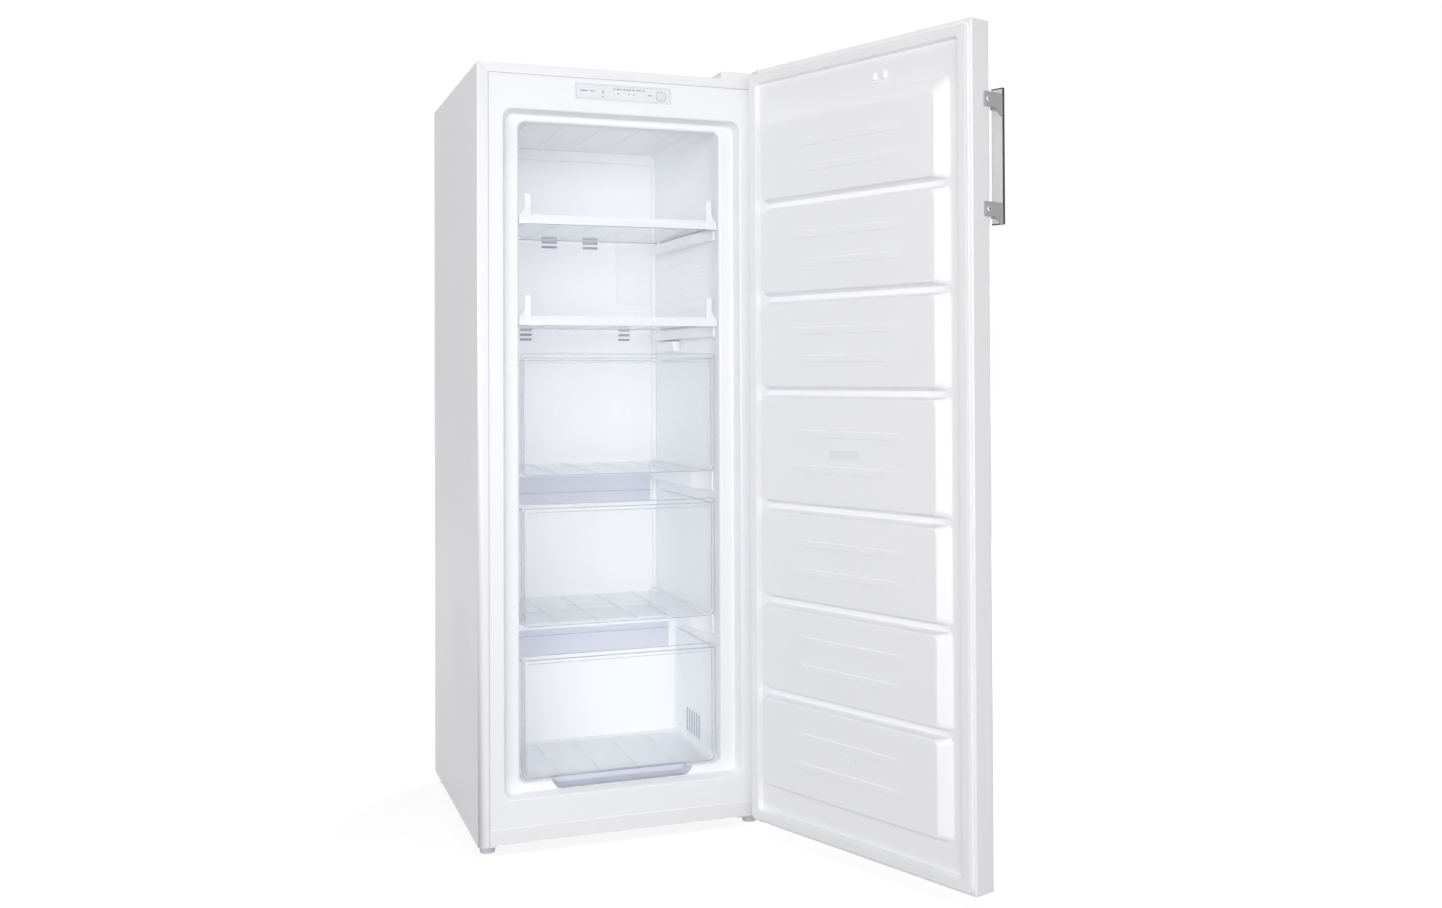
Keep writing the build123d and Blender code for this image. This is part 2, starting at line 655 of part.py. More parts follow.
def build_defrost_heater():
    """Straight heater under the evaporator, on two holders on the back wall."""
    z = evaporator_height()[0] - HEATER_DROP
    y = INNER_BACK - EVAPORATOR_DEPTH / 2
    with BuildPart() as defrost_heater:
        with Locations(Location((0, y, z), (0, 90, 0))):
            Cylinder(HEATER_DIAMETER / 2, EVAPORATOR_WIDTH)
        for side in (-1, 1):
            x = side * (EVAPORATOR_WIDTH - HEATER_HOLDER) / 2
            half = HEATER_HOLDER / 2
            block((x - half, x + half), (y - half / 2, INNER_BACK), (z - half, z + half))
    return defrost_heater.part


FAN_Z = CEILING - FAN_DROP
FAN_BACK = INNER_BACK - FAN_MOTOR_LENGTH - FAN_GAP
FAN_FRONT = FAN_BACK - FAN_LENGTH


def build_evaporator_fan_motor():
    """Motor on the back wall, with a fixed axle for the fan wheel."""
    with BuildPart() as evaporator_fan_motor:
        rod(0, (INNER_BACK - FAN_MOTOR_LENGTH, INNER_BACK), FAN_Z, FAN_MOTOR)
        rod(0, (FAN_FRONT, INNER_BACK), FAN_Z, FAN_AXLE)
    return evaporator_fan_motor.part


def build_evaporator_fan_wheel():
    """Hub with pitched blades."""
    with BuildPart() as evaporator_fan_wheel:
        rod(0, (FAN_FRONT, FAN_BACK), FAN_Z, FAN_HUB)
        reach = (FAN_DIAMETER - FAN_HUB) / 2 + FAN_BLADE_THICKNESS
        for blade in range(FAN_BLADES):
            turn = Location((0, middle((FAN_FRONT, FAN_BACK)), FAN_Z), (0, 360 * blade / FAN_BLADES, 0))
            with Locations(turn * Location((0, 0, (FAN_DIAMETER - reach) / 2), (0, 0, FAN_BLADE_PITCH))):
                Box(FAN_BLADE_WIDTH, FAN_BLADE_THICKNESS, reach)
        hole = FAN_AXLE + 2 * PIN_CLEARANCE
        rod(0, (FAN_FRONT, FAN_BACK), FAN_Z, hole, Mode.SUBTRACT)
    return evaporator_fan_wheel.part


def build_drain_tube():
    """Tube that leads melt water from the duct to the pan on the compressor."""
    with BuildPart() as drain_tube:
        z = (MACHINE_TOP - DRAIN_REACH, HUMP_TOP)
        post(COMPRESSOR_X, DUCT_MIDDLE, z, DRAIN_DIAMETER)
        post(COMPRESSOR_X, DUCT_MIDDLE, z, DRAIN_DIAMETER - 2 * DRAIN_WALL, Mode.SUBTRACT)
    return drain_tube.part


# Shelves and drawers


def build_shelf_rails():
    """Ledges on both walls, under each end of each shelf."""
    with BuildPart() as shelf_rails:
        for level in SHELF_LEVELS:
            top = level - SHELF_SEAT
            for side in (-1, 1):
                x = sorted((side * INNER_SIDE, side * (INNER_SIDE - SHELF_RAIL_WIDTH)))
                block(x, (SHELF_FRONT, SHELF_BACK), (top - SHELF_RAIL_HEIGHT, top))
    return shelf_rails.part


def build_drawer_rails():
    """Ledges on both walls, under the tub of each drawer that doesn't stand on the floor."""
    with BuildPart() as drawer_rails:
        for bottom in DRAWER_BOTTOMS[1:]:
            top = bottom - DRAWER_LIFT
            for side in (-1, 1):
                x = sorted((side * INNER_SIDE, side * (INNER_SIDE - DRAWER_RAIL_WIDTH)))
                block(x, (FRONT + RAIL_SETBACK, DUCT_FRONT), (top - DRAWER_RAIL_HEIGHT, top))
    return drawer_rails.part


def build_tilt_stops():
    """Ledges on both walls that keep the top drawer from tipping when it is pulled out."""
    low = STACK_TOP + DRAWER_LIP_HEIGHT
    back = DUCT_FRONT - STOP_BACK
    with BuildPart() as tilt_stops:
        for side in (-1, 1):
            x = sorted((side * INNER_SIDE, side * (INNER_SIDE - STOP_REACH)))
            block(x, (back - STOP_LENGTH, back), (low, low + STOP_HEIGHT))
    return tilt_stops.part


def build_shelf_plate(level):
    """Clear plate on two runners, stiffened by ribs from front to back."""
    half = INNER_SIDE - SHELF_SIDE_GAP
    low = level - SHELF_SEAT
    top = low + SHELF_RUNNER_HEIGHT
    front = SHELF_FRONT + TRIM_THICKNESS
    with BuildPart() as shelf_plate:
        block(both(half), (front - TRIM_GROOVE, SHELF_BACK), (top, top + SHELF_THICKNESS))
        for side in (-1, 1):
            x = sorted((side * half, side * (half - SHELF_RUNNER_WIDTH)))
            block(x, (front, SHELF_BACK), (low, top))
        with Locations((0, middle((front, SHELF_BACK)), top - SHELF_RIB_HEIGHT / 2)):
            with GridLocations(SHELF_RIB_PITCH, 1, SHELF_RIBS, 1):
                Box(SHELF_RIB_WIDTH, SHELF_BACK - front, SHELF_RIB_HEIGHT)
    return shelf_plate.part


def build_shelf_trim(level):
    """Front strip of a shelf, grooved for the plate, with an upright tab at each end."""
    half = INNER_SIDE - TRIM_SIDE_GAP
    low = level - SHELF_SEAT + SHELF_RUNNER_HEIGHT
    back = SHELF_FRONT + TRIM_THICKNESS
    with BuildPart() as shelf_trim:
        block(both(half), (SHELF_FRONT, back), (level, level + TRIM_HEIGHT))
        for side in (-1, 1):
            outer = half - TAB_WIDTH
            x = sorted((side * outer, side * (outer - TAB_WIDTH)))
            high = level + TRIM_HEIGHT
            block(x, (SHELF_FRONT, SHELF_FRONT + TAB_THICKNESS), (high, high + TAB_HEIGHT))
        groove = both(INNER_SIDE - SHELF_SIDE_GAP)
        block(groove, (back - TRIM_GROOVE, back), (low, low + SHELF_THICKNESS), Mode.SUBTRACT)
    return shelf_trim.part


def tub_length(level):
    """Length of a tub: the lowest one stops short of the machine compartment."""
    back = HUMP_FRONT - DRAWER_HUMP_GAP if level == 0 else DUCT_FRONT - DRAWER_BACK_GAP
    return back - TUB_FRONT


def tub_form(bottom, height, inset, length):
    """Rounded box that widens upwards, drawn in from the outside of the tub by inset."""
    width = 2 * (INNER_SIDE - TUB_SIDE_GAP)
    with BuildPart() as form:
        for z, draft in ((bottom + inset, TUB_DRAFT), (bottom + height, 0)):
            with BuildSketch(Plane.XY.offset(z)):
                with Locations((0, TUB_FRONT + length / 2)):
                    trim = 2 * (inset + draft)
                    RectangleRounded(width - trim, length - trim, TUB_RADIUS - inset)
        loft(ruled=True)
        fillet(form.faces().sort_by(Axis.Z)[0].edges(), TUB_BOTTOM_RADIUS)
    return form.part


def build_drawer_tub(level):
    """Clear tub that widens upwards to a flat rim, with low ribs along its floor."""
    bottom = DRAWER_BOTTOMS[level] - DRAWER_LIFT + TUB_LIFT
    top = DRAWER_BOTTOMS[level] + DRAWER_HEIGHT - DRAWER_LIP_HEIGHT
    length = tub_length(level)
    outer_width = 2 * (INNER_SIDE - TUB_SIDE_GAP)
    with BuildPart() as drawer_tub:
        add(tub_form(bottom, top - bottom, 0, length))
        with BuildSketch(Plane.XY.offset(top - TUB_WALL)):
            with Locations((0, TUB_FRONT + length / 2)):
                RectangleRounded(outer_width + 2 * TUB_RIM_WIDTH, length, TUB_RADIUS)
        extrude(amount=TUB_WALL)
        add(tub_form(bottom, top - bottom, TUB_WALL, length), mode=Mode.SUBTRACT)
        with Locations((0, TUB_FRONT + length / 2, bottom + TUB_WALL + TUB_RIB_HEIGHT / 2)):
            with GridLocations(TUB_RIB_PITCH, 1, TUB_RIBS, 1):
                Box(TUB_RIB_WIDTH, length - 2 * TUB_RIB_INSET, TUB_RIB_HEIGHT)
    return drawer_tub.part


def build_drawer_front(level):
    """Clear front plate, rounded at its lower corners, with a lip along its top."""
    half = INNER_SIDE - DRAWER_SIDE_GAP
    low = DRAWER_BOTTOMS[level]
    high = low + DRAWER_HEIGHT
    with BuildPart() as drawer_front:
        with BuildSketch(Plane.XZ.offset(-TUB_FRONT)) as outline:
            with Locations((0, middle((low, high)))):
                Rectangle(2 * half, DRAWER_HEIGHT)
            corners = outline.vertices().group_by(Axis.Y)
            fillet(corners[0], DRAWER_FRONT_RADIUS)
            fillet(outline.vertices().group_by(Axis.Y)[-1], DRAWER_FRONT_TOP_RADIUS)
        extrude(amount=DRAWER_FRONT)
        lip = both(half - DRAWER_FRONT_TOP_RADIUS)
        lip_depth = (DRAWER_FACE - DRAWER_LIP_REACH, DRAWER_FACE)
        block(lip, lip_depth, (high - DRAWER_LIP_HEIGHT, high))
    return drawer_front.part


# Control panel


def build_control_panel():
    """Bezel with the housing that goes through the liner into the foam."""
    x, z = panel_opening()
    bezel_x = (x[0] - HOUSING_MARGIN, x[1] + HOUSING_MARGIN)
    bezel_z = (z[0] - HOUSING_MARGIN, z[1] + HOUSING_MARGIN)
    inner_x = (x[0] + HOUSING_WALL, x[1] - HOUSING_WALL)
    inner_z = (z[0] + HOUSING_WALL, z[1] - HOUSING_WALL)
    with BuildPart() as control_panel:
        upright_sheet(bezel_x, (PANEL_FRONT, LINER_FRONT), bezel_z, PANEL_RADIUS)
        block(x, (LINER_FRONT, HOUSING_BACK), z)
        block(inner_x, (PANEL_BACK, HOUSING_BACK - HOUSING_WALL), inner_z, Mode.SUBTRACT)
        with Locations((PANEL_OFFSET, middle((PANEL_BACK, BOARD_FRONT)), PANEL_Z)):
            with GridLocations(BOARD_RIB_SPACING, 1, 2, 1):
                Box(HOUSING_WALL, BOARD_FRONT - PANEL_BACK, BOARD_HEIGHT)
        hole = BUTTON_DIAMETER + 2 * BUTTON_GAP
        rod(PANEL_OFFSET + BUTTON_OFFSET, (PANEL_FRONT, PANEL_BACK), PANEL_ROW, hole, Mode.SUBTRACT)
        for shift in LENS_OFFSETS:
            rod(PANEL_OFFSET + shift, (PANEL_FRONT, PANEL_BACK), PANEL_ROW, LENS_DIAMETER, Mode.SUBTRACT)
    return control_panel.part


def build_control_board():
    """Circuit board on two ribs of the housing, with the switch under the button."""
    with BuildPart() as control_board:
        x = (PANEL_OFFSET - BOARD_WIDTH / 2, PANEL_OFFSET + BOARD_WIDTH / 2)
        z = (PANEL_Z - BOARD_HEIGHT / 2, PANEL_Z + BOARD_HEIGHT / 2)
        block(x, (BOARD_FRONT, BOARD_FRONT + BOARD_THICKNESS), z)
        button_back = PANEL_FRONT - BUTTON_PROUD + BUTTON_LENGTH
        nub_front = button_back + BUTTON_TRAVEL + BUTTON_GAP
        rod(PANEL_OFFSET + BUTTON_OFFSET, (nub_front, BOARD_FRONT), PANEL_ROW, SWITCH_NUB)
    return control_board.part


def build_control_button():
    """Round push button, kept in the bezel by a flange."""
    x = PANEL_OFFSET + BUTTON_OFFSET
    front = PANEL_FRONT - BUTTON_PROUD
    flange = PANEL_BACK + BUTTON_GAP
    with BuildPart() as control_button:
        rod(x, (front, front + BUTTON_LENGTH), PANEL_ROW, BUTTON_DIAMETER)
        rod(x, (flange, flange + BUTTON_FLANGE_THICKNESS), PANEL_ROW, BUTTON_FLANGE)
    return control_button.part


def build_indicator_lenses():
    """Two small lenses, flush with the bezel."""
    with BuildPart() as indicator_lenses:
        for shift in LENS_OFFSETS:
            rod(PANEL_OFFSET + shift, (PANEL_FRONT, PANEL_BACK), PANEL_ROW, LENS_DIAMETER)
    return indicator_lenses.part


# Door, modelled closed: u is the distance from its free side, v from the front of the cabinet


def door_x(u):
    """Low and high X of a range across the closed door."""
    return (u[0] - SIDE, u[1] - SIDE)


def door_y(v):
    """Low and high Y of a range in front of the cabinet."""
    return (FRONT - v[1], FRONT - v[0])


def swing(part):
    """Turn a piece of the closed door to where the door stands open."""
    return part.rotate(HINGE_AXIS, OPEN_ANGLE)


def door_prism(inset, z, mode=Mode.ADD):
    """Upright piece with the door's outline in plan, drawn in by inset."""
    with BuildSketch(Plane.XY.offset(z[0]), mode=Mode.PRIVATE) as outline:
        with Locations((0, middle((DOOR_OUTER, DOOR_INNER)))):
            Rectangle(WIDTH - 2 * inset, DOOR_THICKNESS - 2 * inset)
        fillet(outline.vertices().group_by(Axis.Y)[0], DOOR_RADIUS - inset)
    extrude(to_extrude=outline.sketch, amount=span(z), mode=mode)


def cut_hinge_notch():
    """Cut the corner of the door's top where the hinge arm lies."""
    x = door_x((WIDTH - NOTCH_LENGTH, WIDTH))
    block(x, (DOOR_OUTER, DOOR_INNER), (NOTCH_FLOOR, DOOR_TOP), Mode.SUBTRACT)


def build_door_skin():
    """Outer steel sheet: face, two sides and the returns behind them."""
    z = (DOOR_BOTTOM + DOOR_CAP, DOOR_TOP - DOOR_CAP)
    with BuildPart() as door_skin:
        door_prism(0, z)
        door_prism(DOOR_SKIN, z, Mode.SUBTRACT)
        opening = both(SIDE - DOOR_RETURN)
        block(opening, (DOOR_INNER - DOOR_SKIN, DOOR_INNER), z, Mode.SUBTRACT)
        cut_hinge_notch()
        for height in bracket_heights():
            with Locations(Location((-SIDE, screw_y(), height), (0, 90, 0))):
                Cylinder(HANDLE_SCREW / 2, 2 * DOOR_SKIN, mode=Mode.SUBTRACT)
    return swing(door_skin.part)


def build_door_cap(outer, inner, plug_end, bush_mouth, bush_end):
    """Plastic end of the door, with the plug that fills the skin and the seat of a bush."""
    with BuildPart() as door_cap:
        door_prism(0, sorted((outer, inner)))
        door_prism(DOOR_SKIN, sorted((inner, plug_end)))
        behind_liner = (DOOR_INNER - DOOR_LINER, DOOR_INNER)
        block(both(SIDE), behind_liner, sorted((inner, plug_end)), Mode.SUBTRACT)
        cut_hinge_notch()
        bush = PIN_DIAMETER + 2 * PIN_CLEARANCE + 2 * BUSH_WALL
        post(PIVOT_X, PIVOT_Y, sorted((bush_mouth, bush_end)), bush, Mode.SUBTRACT)
    return swing(door_cap.part)


def build_hinge_bushes():
    """Plastic bushes in the two ends of the door."""
    with BuildPart() as hinge_bushes:
        bore = PIN_DIAMETER + 2 * PIN_CLEARANCE
        for z in ((DOOR_BOTTOM, DOOR_BOTTOM + BUSH_LENGTH), (NOTCH_FLOOR - BUSH_LENGTH, NOTCH_FLOOR)):
            post(PIVOT_X, PIVOT_Y, z, bore + 2 * BUSH_WALL)
            post(PIVOT_X, PIVOT_Y, z, bore, Mode.SUBTRACT)
    return swing(hinge_bushes.part)


def block_levels():
    """Bottom and top of the crest of each raised block, from the top one down."""
    high = MOUTH_CEILING
    grooves = BLOCK_GROOVE * (len(BLOCK_PROPORTIONS) - 1)
    share = (high - BASE - BLOCK_BOTTOM - grooves) / sum(BLOCK_PROPORTIONS)
    levels = []
    for proportion in BLOCK_PROPORTIONS:
        low = high - proportion * share
        levels.append((low, high))
        high = low - BLOCK_GROOVE
    return levels


def raised_blocks(inset, mode=Mode.ADD):
    """Raised blocks of the door's liner, or their cores when drawn in by inset."""
    foot_y = DOOR_INNER - inset
    crest_y = DOOR_INNER + BLOCK_PROUD - inset
    foot_x = door_x((BLOCK_FREE_SIDE + inset, WIDTH - BLOCK_HINGE_SIDE - inset))
    crest_x = (foot_x[0] + BLOCK_FREE_RUN, foot_x[1] - BLOCK_HINGE_RUN)
    for number, (low, high) in enumerate(block_levels()):
        top_run = BLOCK_TOP_RUN if number == 0 else BLOCK_END_RUN
        crest_z = (low + inset, high - inset)
        foot_z = (crest_z[0] - BLOCK_END_RUN, crest_z[1] + top_run)
        tapered(foot_y, foot_x, foot_z, crest_y, crest_x, crest_z, BLOCK_RADIUS, mode)


def emboss_bands():
    """Low bands with round ends across the crest of each raised block."""
    x = door_x((BLOCK_FREE_SIDE + BLOCK_FREE_RUN, WIDTH - BLOCK_HINGE_SIDE - BLOCK_HINGE_RUN))
    crest_y = DOOR_INNER + BLOCK_PROUD
    for low, high in block_levels():
        with BuildSketch(Plane.XZ.offset(-crest_y - BAND_PROUD), mode=Mode.PRIVATE) as bands:
            with Locations((middle(x), middle((low, high)))):
                with GridLocations(1, (high - low) / (BANDS + 1), 1, BANDS):
                    SlotOverall(BAND_WIDTH, BAND_HEIGHT)
        extrude(to_extrude=bands.sketch, amount=BAND_PROUD)


def build_door_liner():
    """Plastic inner face of the door, with its raised blocks and two catch humps."""
    z = (DOOR_BOTTOM + DOOR_CAP, DOOR_TOP - DOOR_CAP)
    with BuildPart() as door_liner:
        block(both(SIDE - DOOR_RETURN), (DOOR_INNER - DOOR_LINER, DOOR_INNER), z)
        raised_blocks(0)
        raised_blocks(DOOR_LINER, Mode.SUBTRACT)
        emboss_bands()
        for u in HUMP_OFFSETS:
            top = DOOR_TOP - HUMP_DROP
            x = door_x((u, u + HUMP_WIDTH))
            block(x, (DOOR_INNER, DOOR_INNER + HUMP_PROUD), (top - HUMP_HEIGHT, top))
        cut_hinge_notch()
    return swing(door_liner.part)


def build_door_foam():
    """Foam that fills the door and its raised blocks."""
    z = (DOOR_BOTTOM + DOOR_CAP + DOOR_PLUG, DOOR_TOP - DOOR_CAP - DOOR_PLUG)
    with BuildPart() as door_foam:
        door_prism(DOOR_SKIN, z)
        block(both(SIDE), (DOOR_INNER - DOOR_LINER, DOOR_INNER), z, Mode.SUBTRACT)
        raised_blocks(DOOR_LINER)
    return swing(door_foam.part)


def gasket_outline():
    """Middle line of the gasket, across the door and up it."""
    inset = GASKET_MARGIN + GASKET_WIDTH / 2
    low = DOOR_BOTTOM + GASKET_BOTTOM + GASKET_WIDTH / 2
    high = DOOR_TOP - GASKET_TOP - GASKET_WIDTH / 2
    return both(SIDE - inset), (low, high)


def ring(y, width, radius, mode=Mode.ADD):
    """Rectangular frame of a given width along the middle line of the gasket."""
    x, z = gasket_outline()
    with BuildSketch(Plane.XZ.offset(-y[1]), mode=Mode.PRIVATE) as outline:
        with Locations((middle(x), middle(z))):
            RectangleRounded(span(x) + width, span(z) + width, radius)
            Rectangle(span(x) - width, span(z) - width, mode=Mode.SUBTRACT)
    extrude(to_extrude=outline.sketch, amount=span(y), mode=mode)


def build_door_gasket():
    """Soft frame round the door, hollow behind its magnet."""
    with BuildPart() as door_gasket:
        ring((DOOR_INNER, GASKET_FACE), GASKET_WIDTH, GASKET_RADIUS)
        face = door_gasket.faces().sort_by(Axis.Y)[-1]
        fillet(face.outer_wire().edges(), GASKET_EDGE)
        ring((DOOR_INNER, GASKET_FACE - MAGNET_COVER), MAGNET_WIDTH, GASKET_EDGE, Mode.SUBTRACT)
    return swing(door_gasket.part)


def build_gasket_magnet():
    """Flexible magnet behind the face of the gasket."""
    front = GASKET_FACE - MAGNET_COVER
    with BuildPart() as gasket_magnet:
        ring((front - MAGNET_THICKNESS, front), MAGNET_WIDTH, GASKET_EDGE)
    return swing(gasket_magnet.part)


# Handle


def bracket_heights():
    """Middle heights of the lower and the upper handle bracket."""
    upper = TOP - BRACKET_DROP - BRACKET_HEIGHT / 2
    return (upper - BRACKET_SPACING, upper)


def screw_y():
    """Y of the handle's screws, inside the lap of the brackets on the door."""
    return DOOR_OUTER + BRACKET_GRIP - HANDLE_SCREW_INSET


def bar_heights():
    """Bottom and top of the handle bar between its caps."""
    middle_height = middle(bracket_heights())
    return (middle_height - BAR_LENGTH / 2, middle_height + BAR_LENGTH / 2)


def bar_section():
    """X and Y range of the handle bar."""
    x = (-SIDE - BRACKET_THICKNESS, -SIDE - BRACKET_THICKNESS + BAR_WIDTH)
    front = DOOR_OUTER - BAR_STANDOFF
    return x, (front - BAR_THICKNESS, front)


def build_handle_bar():
    """Flat bar in front of the door, along its free side."""
    x, y = bar_section()
    with BuildPart() as handle_bar:
        block(x, y, bar_heights())
        fillet(handle_bar.edges().filter_by(Axis.Z), SHEET)
    return swing(handle_bar.part)


def build_handle_caps():
    """Dark caps on the two ends of the bar."""
    x, y = bar_section()
    low, high = bar_heights()
    with BuildPart() as handle_caps:
        block(x, y, (low - BAR_CAP, low))
        block(x, y, (high, high + BAR_CAP))
    return swing(handle_caps.part)


def build_handle_bracket(height):
    """Folded bracket: a cheek on the side of the door, a tongue behind the bar and a gusset."""
    cheek = (-SIDE - BRACKET_THICKNESS, -SIDE)
    bar_back = bar_section()[1][1]
    z = (height - BRACKET_HEIGHT / 2, height + BRACKET_HEIGHT / 2)
    with BuildPart() as handle_bracket:
        block(cheek, (bar_back, DOOR_OUTER + BRACKET_GRIP), z)
        tongue = (-SIDE, -SIDE + BRACKET_TONGUE)
        block(tongue, (bar_back, bar_back + BRACKET_THICKNESS), z)
        with BuildSketch(Plane.YZ.offset(cheek[0])):
            with BuildLine():
                root, tip = bar_back, bar_back + BAR_STANDOFF - DOOR_RADIUS
                Polyline((root, z[0]), (tip, z[0]), (root, z[0] - GUSSET_HEIGHT), close=True)
            make_face()
        extrude(amount=BRACKET_THICKNESS)
        with Locations(Location((middle(cheek), screw_y(), height), (0, 90, 0))):
            Cylinder(HANDLE_SCREW / 2, BRACKET_THICKNESS, mode=Mode.SUBTRACT)
    return swing(handle_bracket.part)


def build_handle_screws():
    """Screws through the cheeks into the side of the door."""
    head = (-SIDE - BRACKET_THICKNESS - HANDLE_SCREW_HEAD_HEIGHT, -SIDE - BRACKET_THICKNESS)
    shank = (head[1], -SIDE + DOOR_SKIN)
    with BuildPart() as handle_screws:
        for height in bracket_heights():
            with Locations(Location((middle(head), screw_y(), height), (0, 90, 0))):
                Cylinder(HANDLE_SCREW_HEAD / 2, span(head))
            with Locations(Location((middle(shank), screw_y(), height), (0, 90, 0))):
                Cylinder(HANDLE_SCREW / 2, span(shank))
    return swing(handle_screws.part)


# Hinges


def arm(z, radius, back, mode=Mode.ADD):
    """Flat arm from the front of the cabinet to a round end at the pivot."""
    block((PIVOT_X - radius, PIVOT_X + radius), (PIVOT_Y, back), z, mode)
    post(PIVOT_X, PIVOT_Y, z, 2 * radius, mode)


def hinge_plate_x():
    """X range of the hinge plates."""
    return (SIDE - HINGE_MARGIN - HINGE_PLATE_WIDTH, SIDE - HINGE_MARGIN)


def build_top_hinge():
    """Plate on the roof, raised arm over the door and pin down into it."""
    arm_radius = PIVOT_INSET - HINGE_COVER_WALL - HINGE_COVER_GAP
    arm_z = (TOP + HINGE_PLATE, TOP + 2 * HINGE_PLATE)
    with BuildPart() as top_hinge:
        block(hinge_plate_x(), (FRONT + HINGE_MARGIN, FRONT + HINGE_PLATE_LENGTH), (TOP, TOP + HINGE_PLATE))
        arm(arm_z, arm_radius, FRONT + ARM_LAP)
        post(PIVOT_X, PIVOT_Y, (arm_z[0] - PIN_LENGTH, arm_z[0]), PIN_DIAMETER)
        for x, y in HINGE_SCREW_SPOTS:
            post(x, y, (TOP, TOP + HINGE_PLATE), HINGE_SCREW, Mode.SUBTRACT)
    return top_hinge.part


def build_hinge_cover():
    """Plastic cover over the top hinge, with a nose round the pivot."""
    arm_radius = PIVOT_INSET - HINGE_COVER_WALL
    high = TOP + HINGE_COVER_HEIGHT
    nose_low = NOTCH_FLOOR + 2 * HINGE_COVER_GAP
    x = (hinge_plate_x()[0] - HINGE_MARGIN, SIDE)
    y = (FRONT + HINGE_MARGIN / 2, FRONT + HINGE_PLATE_LENGTH + HINGE_MARGIN)
    wall = HINGE_COVER_WALL
    with BuildPart() as hinge_cover:
        block(x, y, (TOP, high))
        arm((nose_low, high), PIVOT_INSET, y[0] + wall)
        fillet(hinge_cover.faces().sort_by(Axis.Z)[-1].edges(), HINGE_COVER_WALL)
        inner_x = (x[0] + wall, x[1] - wall)
        block(inner_x, (y[0] + wall, y[1] - wall), (TOP, high - wall), Mode.SUBTRACT)
        arm((nose_low, high - wall), arm_radius, y[0] + 2 * wall, Mode.SUBTRACT)
    return hinge_cover.part


def build_bottom_hinge():
    """Plate under the front rail, with an arm and a pin up into the door."""
    x = (SIDE - FOOT_INSET - HINGE_PLATE_LENGTH / 2, SIDE - HINGE_MARGIN)
    z = (BASE - HINGE_PLATE, BASE)
    with BuildPart() as bottom_hinge:
        block(x, (FRONT + HINGE_MARGIN, FRONT + HINGE_PLATE_LENGTH), z)
        arm(z, PIVOT_INSET, FRONT + ARM_LAP)
        post(PIVOT_X, PIVOT_Y, (BASE, DOOR_BOTTOM + PIN_LENGTH), PIN_DIAMETER)
        foot = FRONT_FEET[1]
        post(foot[0], foot[1], z, STUD_DIAMETER + 2 * STUD_CLEARANCE, Mode.SUBTRACT)
        for spot_x, spot_y in HINGE_SCREW_SPOTS[1:]:
            post(spot_x, spot_y, z, HINGE_SCREW, Mode.SUBTRACT)
    return bottom_hinge.part


def build_hinge_screws():
    """Screws of the two hinge plates."""
    with BuildPart() as hinge_screws:
        for x, y in HINGE_SCREW_SPOTS:
            seat = TOP + HINGE_PLATE
            post(x, y, (TOP - SHEET, seat), HINGE_SCREW)
            post(x, y, (seat, seat + HINGE_SCREW_HEAD_HEIGHT), HINGE_SCREW_HEAD)
        for x, y in HINGE_SCREW_SPOTS[1:]:
            seat = BASE - HINGE_PLATE
            post(x, y, (seat, BASE + SHEET), HINGE_SCREW)
            post(x, y, (seat - HINGE_SCREW_HEAD_HEIGHT, seat), HINGE_SCREW_HEAD)
    return hinge_screws.part


# Feet


def build_front_foot(spot):
    """Levelling foot: a round pad on a stud that turns in the front rail."""
    x, y = spot
    pad_top = BASE - HINGE_PLATE - FOOT_GAP
    with BuildPart() as front_foot:
        post(x, y, (0, pad_top), FOOT_DIAMETER)
        fillet(front_foot.edges().filter_by(GeomType.CIRCLE), SHELL_RADIUS)
        post(x, y, (pad_top, BASE + STUD_LENGTH), STUD_DIAMETER)
    return front_foot.part


def build_rear_feet():
    """Fixed feet under the machine compartment."""
    with BuildPart() as rear_feet:
        for x, y in REAR_FEET:
            post(x, y, (0, BASE), FOOT_DIAMETER)
        fillet(rear_feet.edges().filter_by(GeomType.CIRCLE), SHELL_RADIUS)
        for x, y in REAR_FEET:
            post(x, y, (BASE, BASE + REAR_STUD_LENGTH), STUD_DIAMETER)
    return rear_feet.part


# Machinery

COMPRESSOR_BOTTOM = BASE_TOP + GROMMET_HEIGHT + COMPRESSOR_PLATE[2]
COMPRESSOR_TOP = COMPRESSOR_BOTTOM + COMPRESSOR_HEIGHT


def build_compressor():
    """Rounded oval can on a flat foot plate."""
    with BuildPart() as compressor:
        with BuildSketch(Plane.XY.offset(COMPRESSOR_BOTTOM)):
            with Locations((COMPRESSOR_X, MACHINE_MIDDLE)):
                Ellipse(COMPRESSOR_LENGTH / 2, COMPRESSOR_WIDTH / 2)
        extrude(amount=COMPRESSOR_HEIGHT)
        fillet(compressor.edges().group_by(Axis.Z)[-1], COMPRESSOR_ROUNDING)
        length, width, thickness = COMPRESSOR_PLATE
        with Locations((COMPRESSOR_X, MACHINE_MIDDLE, COMPRESSOR_BOTTOM - thickness / 2)):
            Box(length, width, thickness)
    return compressor.part


def build_compressor_grommets():
    """Rubber mounts under the corners of the foot plate."""
    with BuildPart() as compressor_grommets:
        with Locations((COMPRESSOR_X, MACHINE_MIDDLE, BASE_TOP + GROMMET_HEIGHT / 2)):
            with GridLocations(GROMMET_SPACING[0], GROMMET_SPACING[1], 2, 2):
                Cylinder(GROMMET_DIAMETER / 2, GROMMET_HEIGHT)
    return compressor_grommets.part


def build_start_relay():
    """Relay box against the end of the compressor."""
    length, width, height = RELAY_SIZE
    x = COMPRESSOR_X - COMPRESSOR_LENGTH / 2 - length / 2
    with BuildPart() as start_relay:
        with Locations((x, MACHINE_MIDDLE, COMPRESSOR_BOTTOM + RELAY_RISE + height / 2)):
            Box(length, width, height)
    return start_relay.part


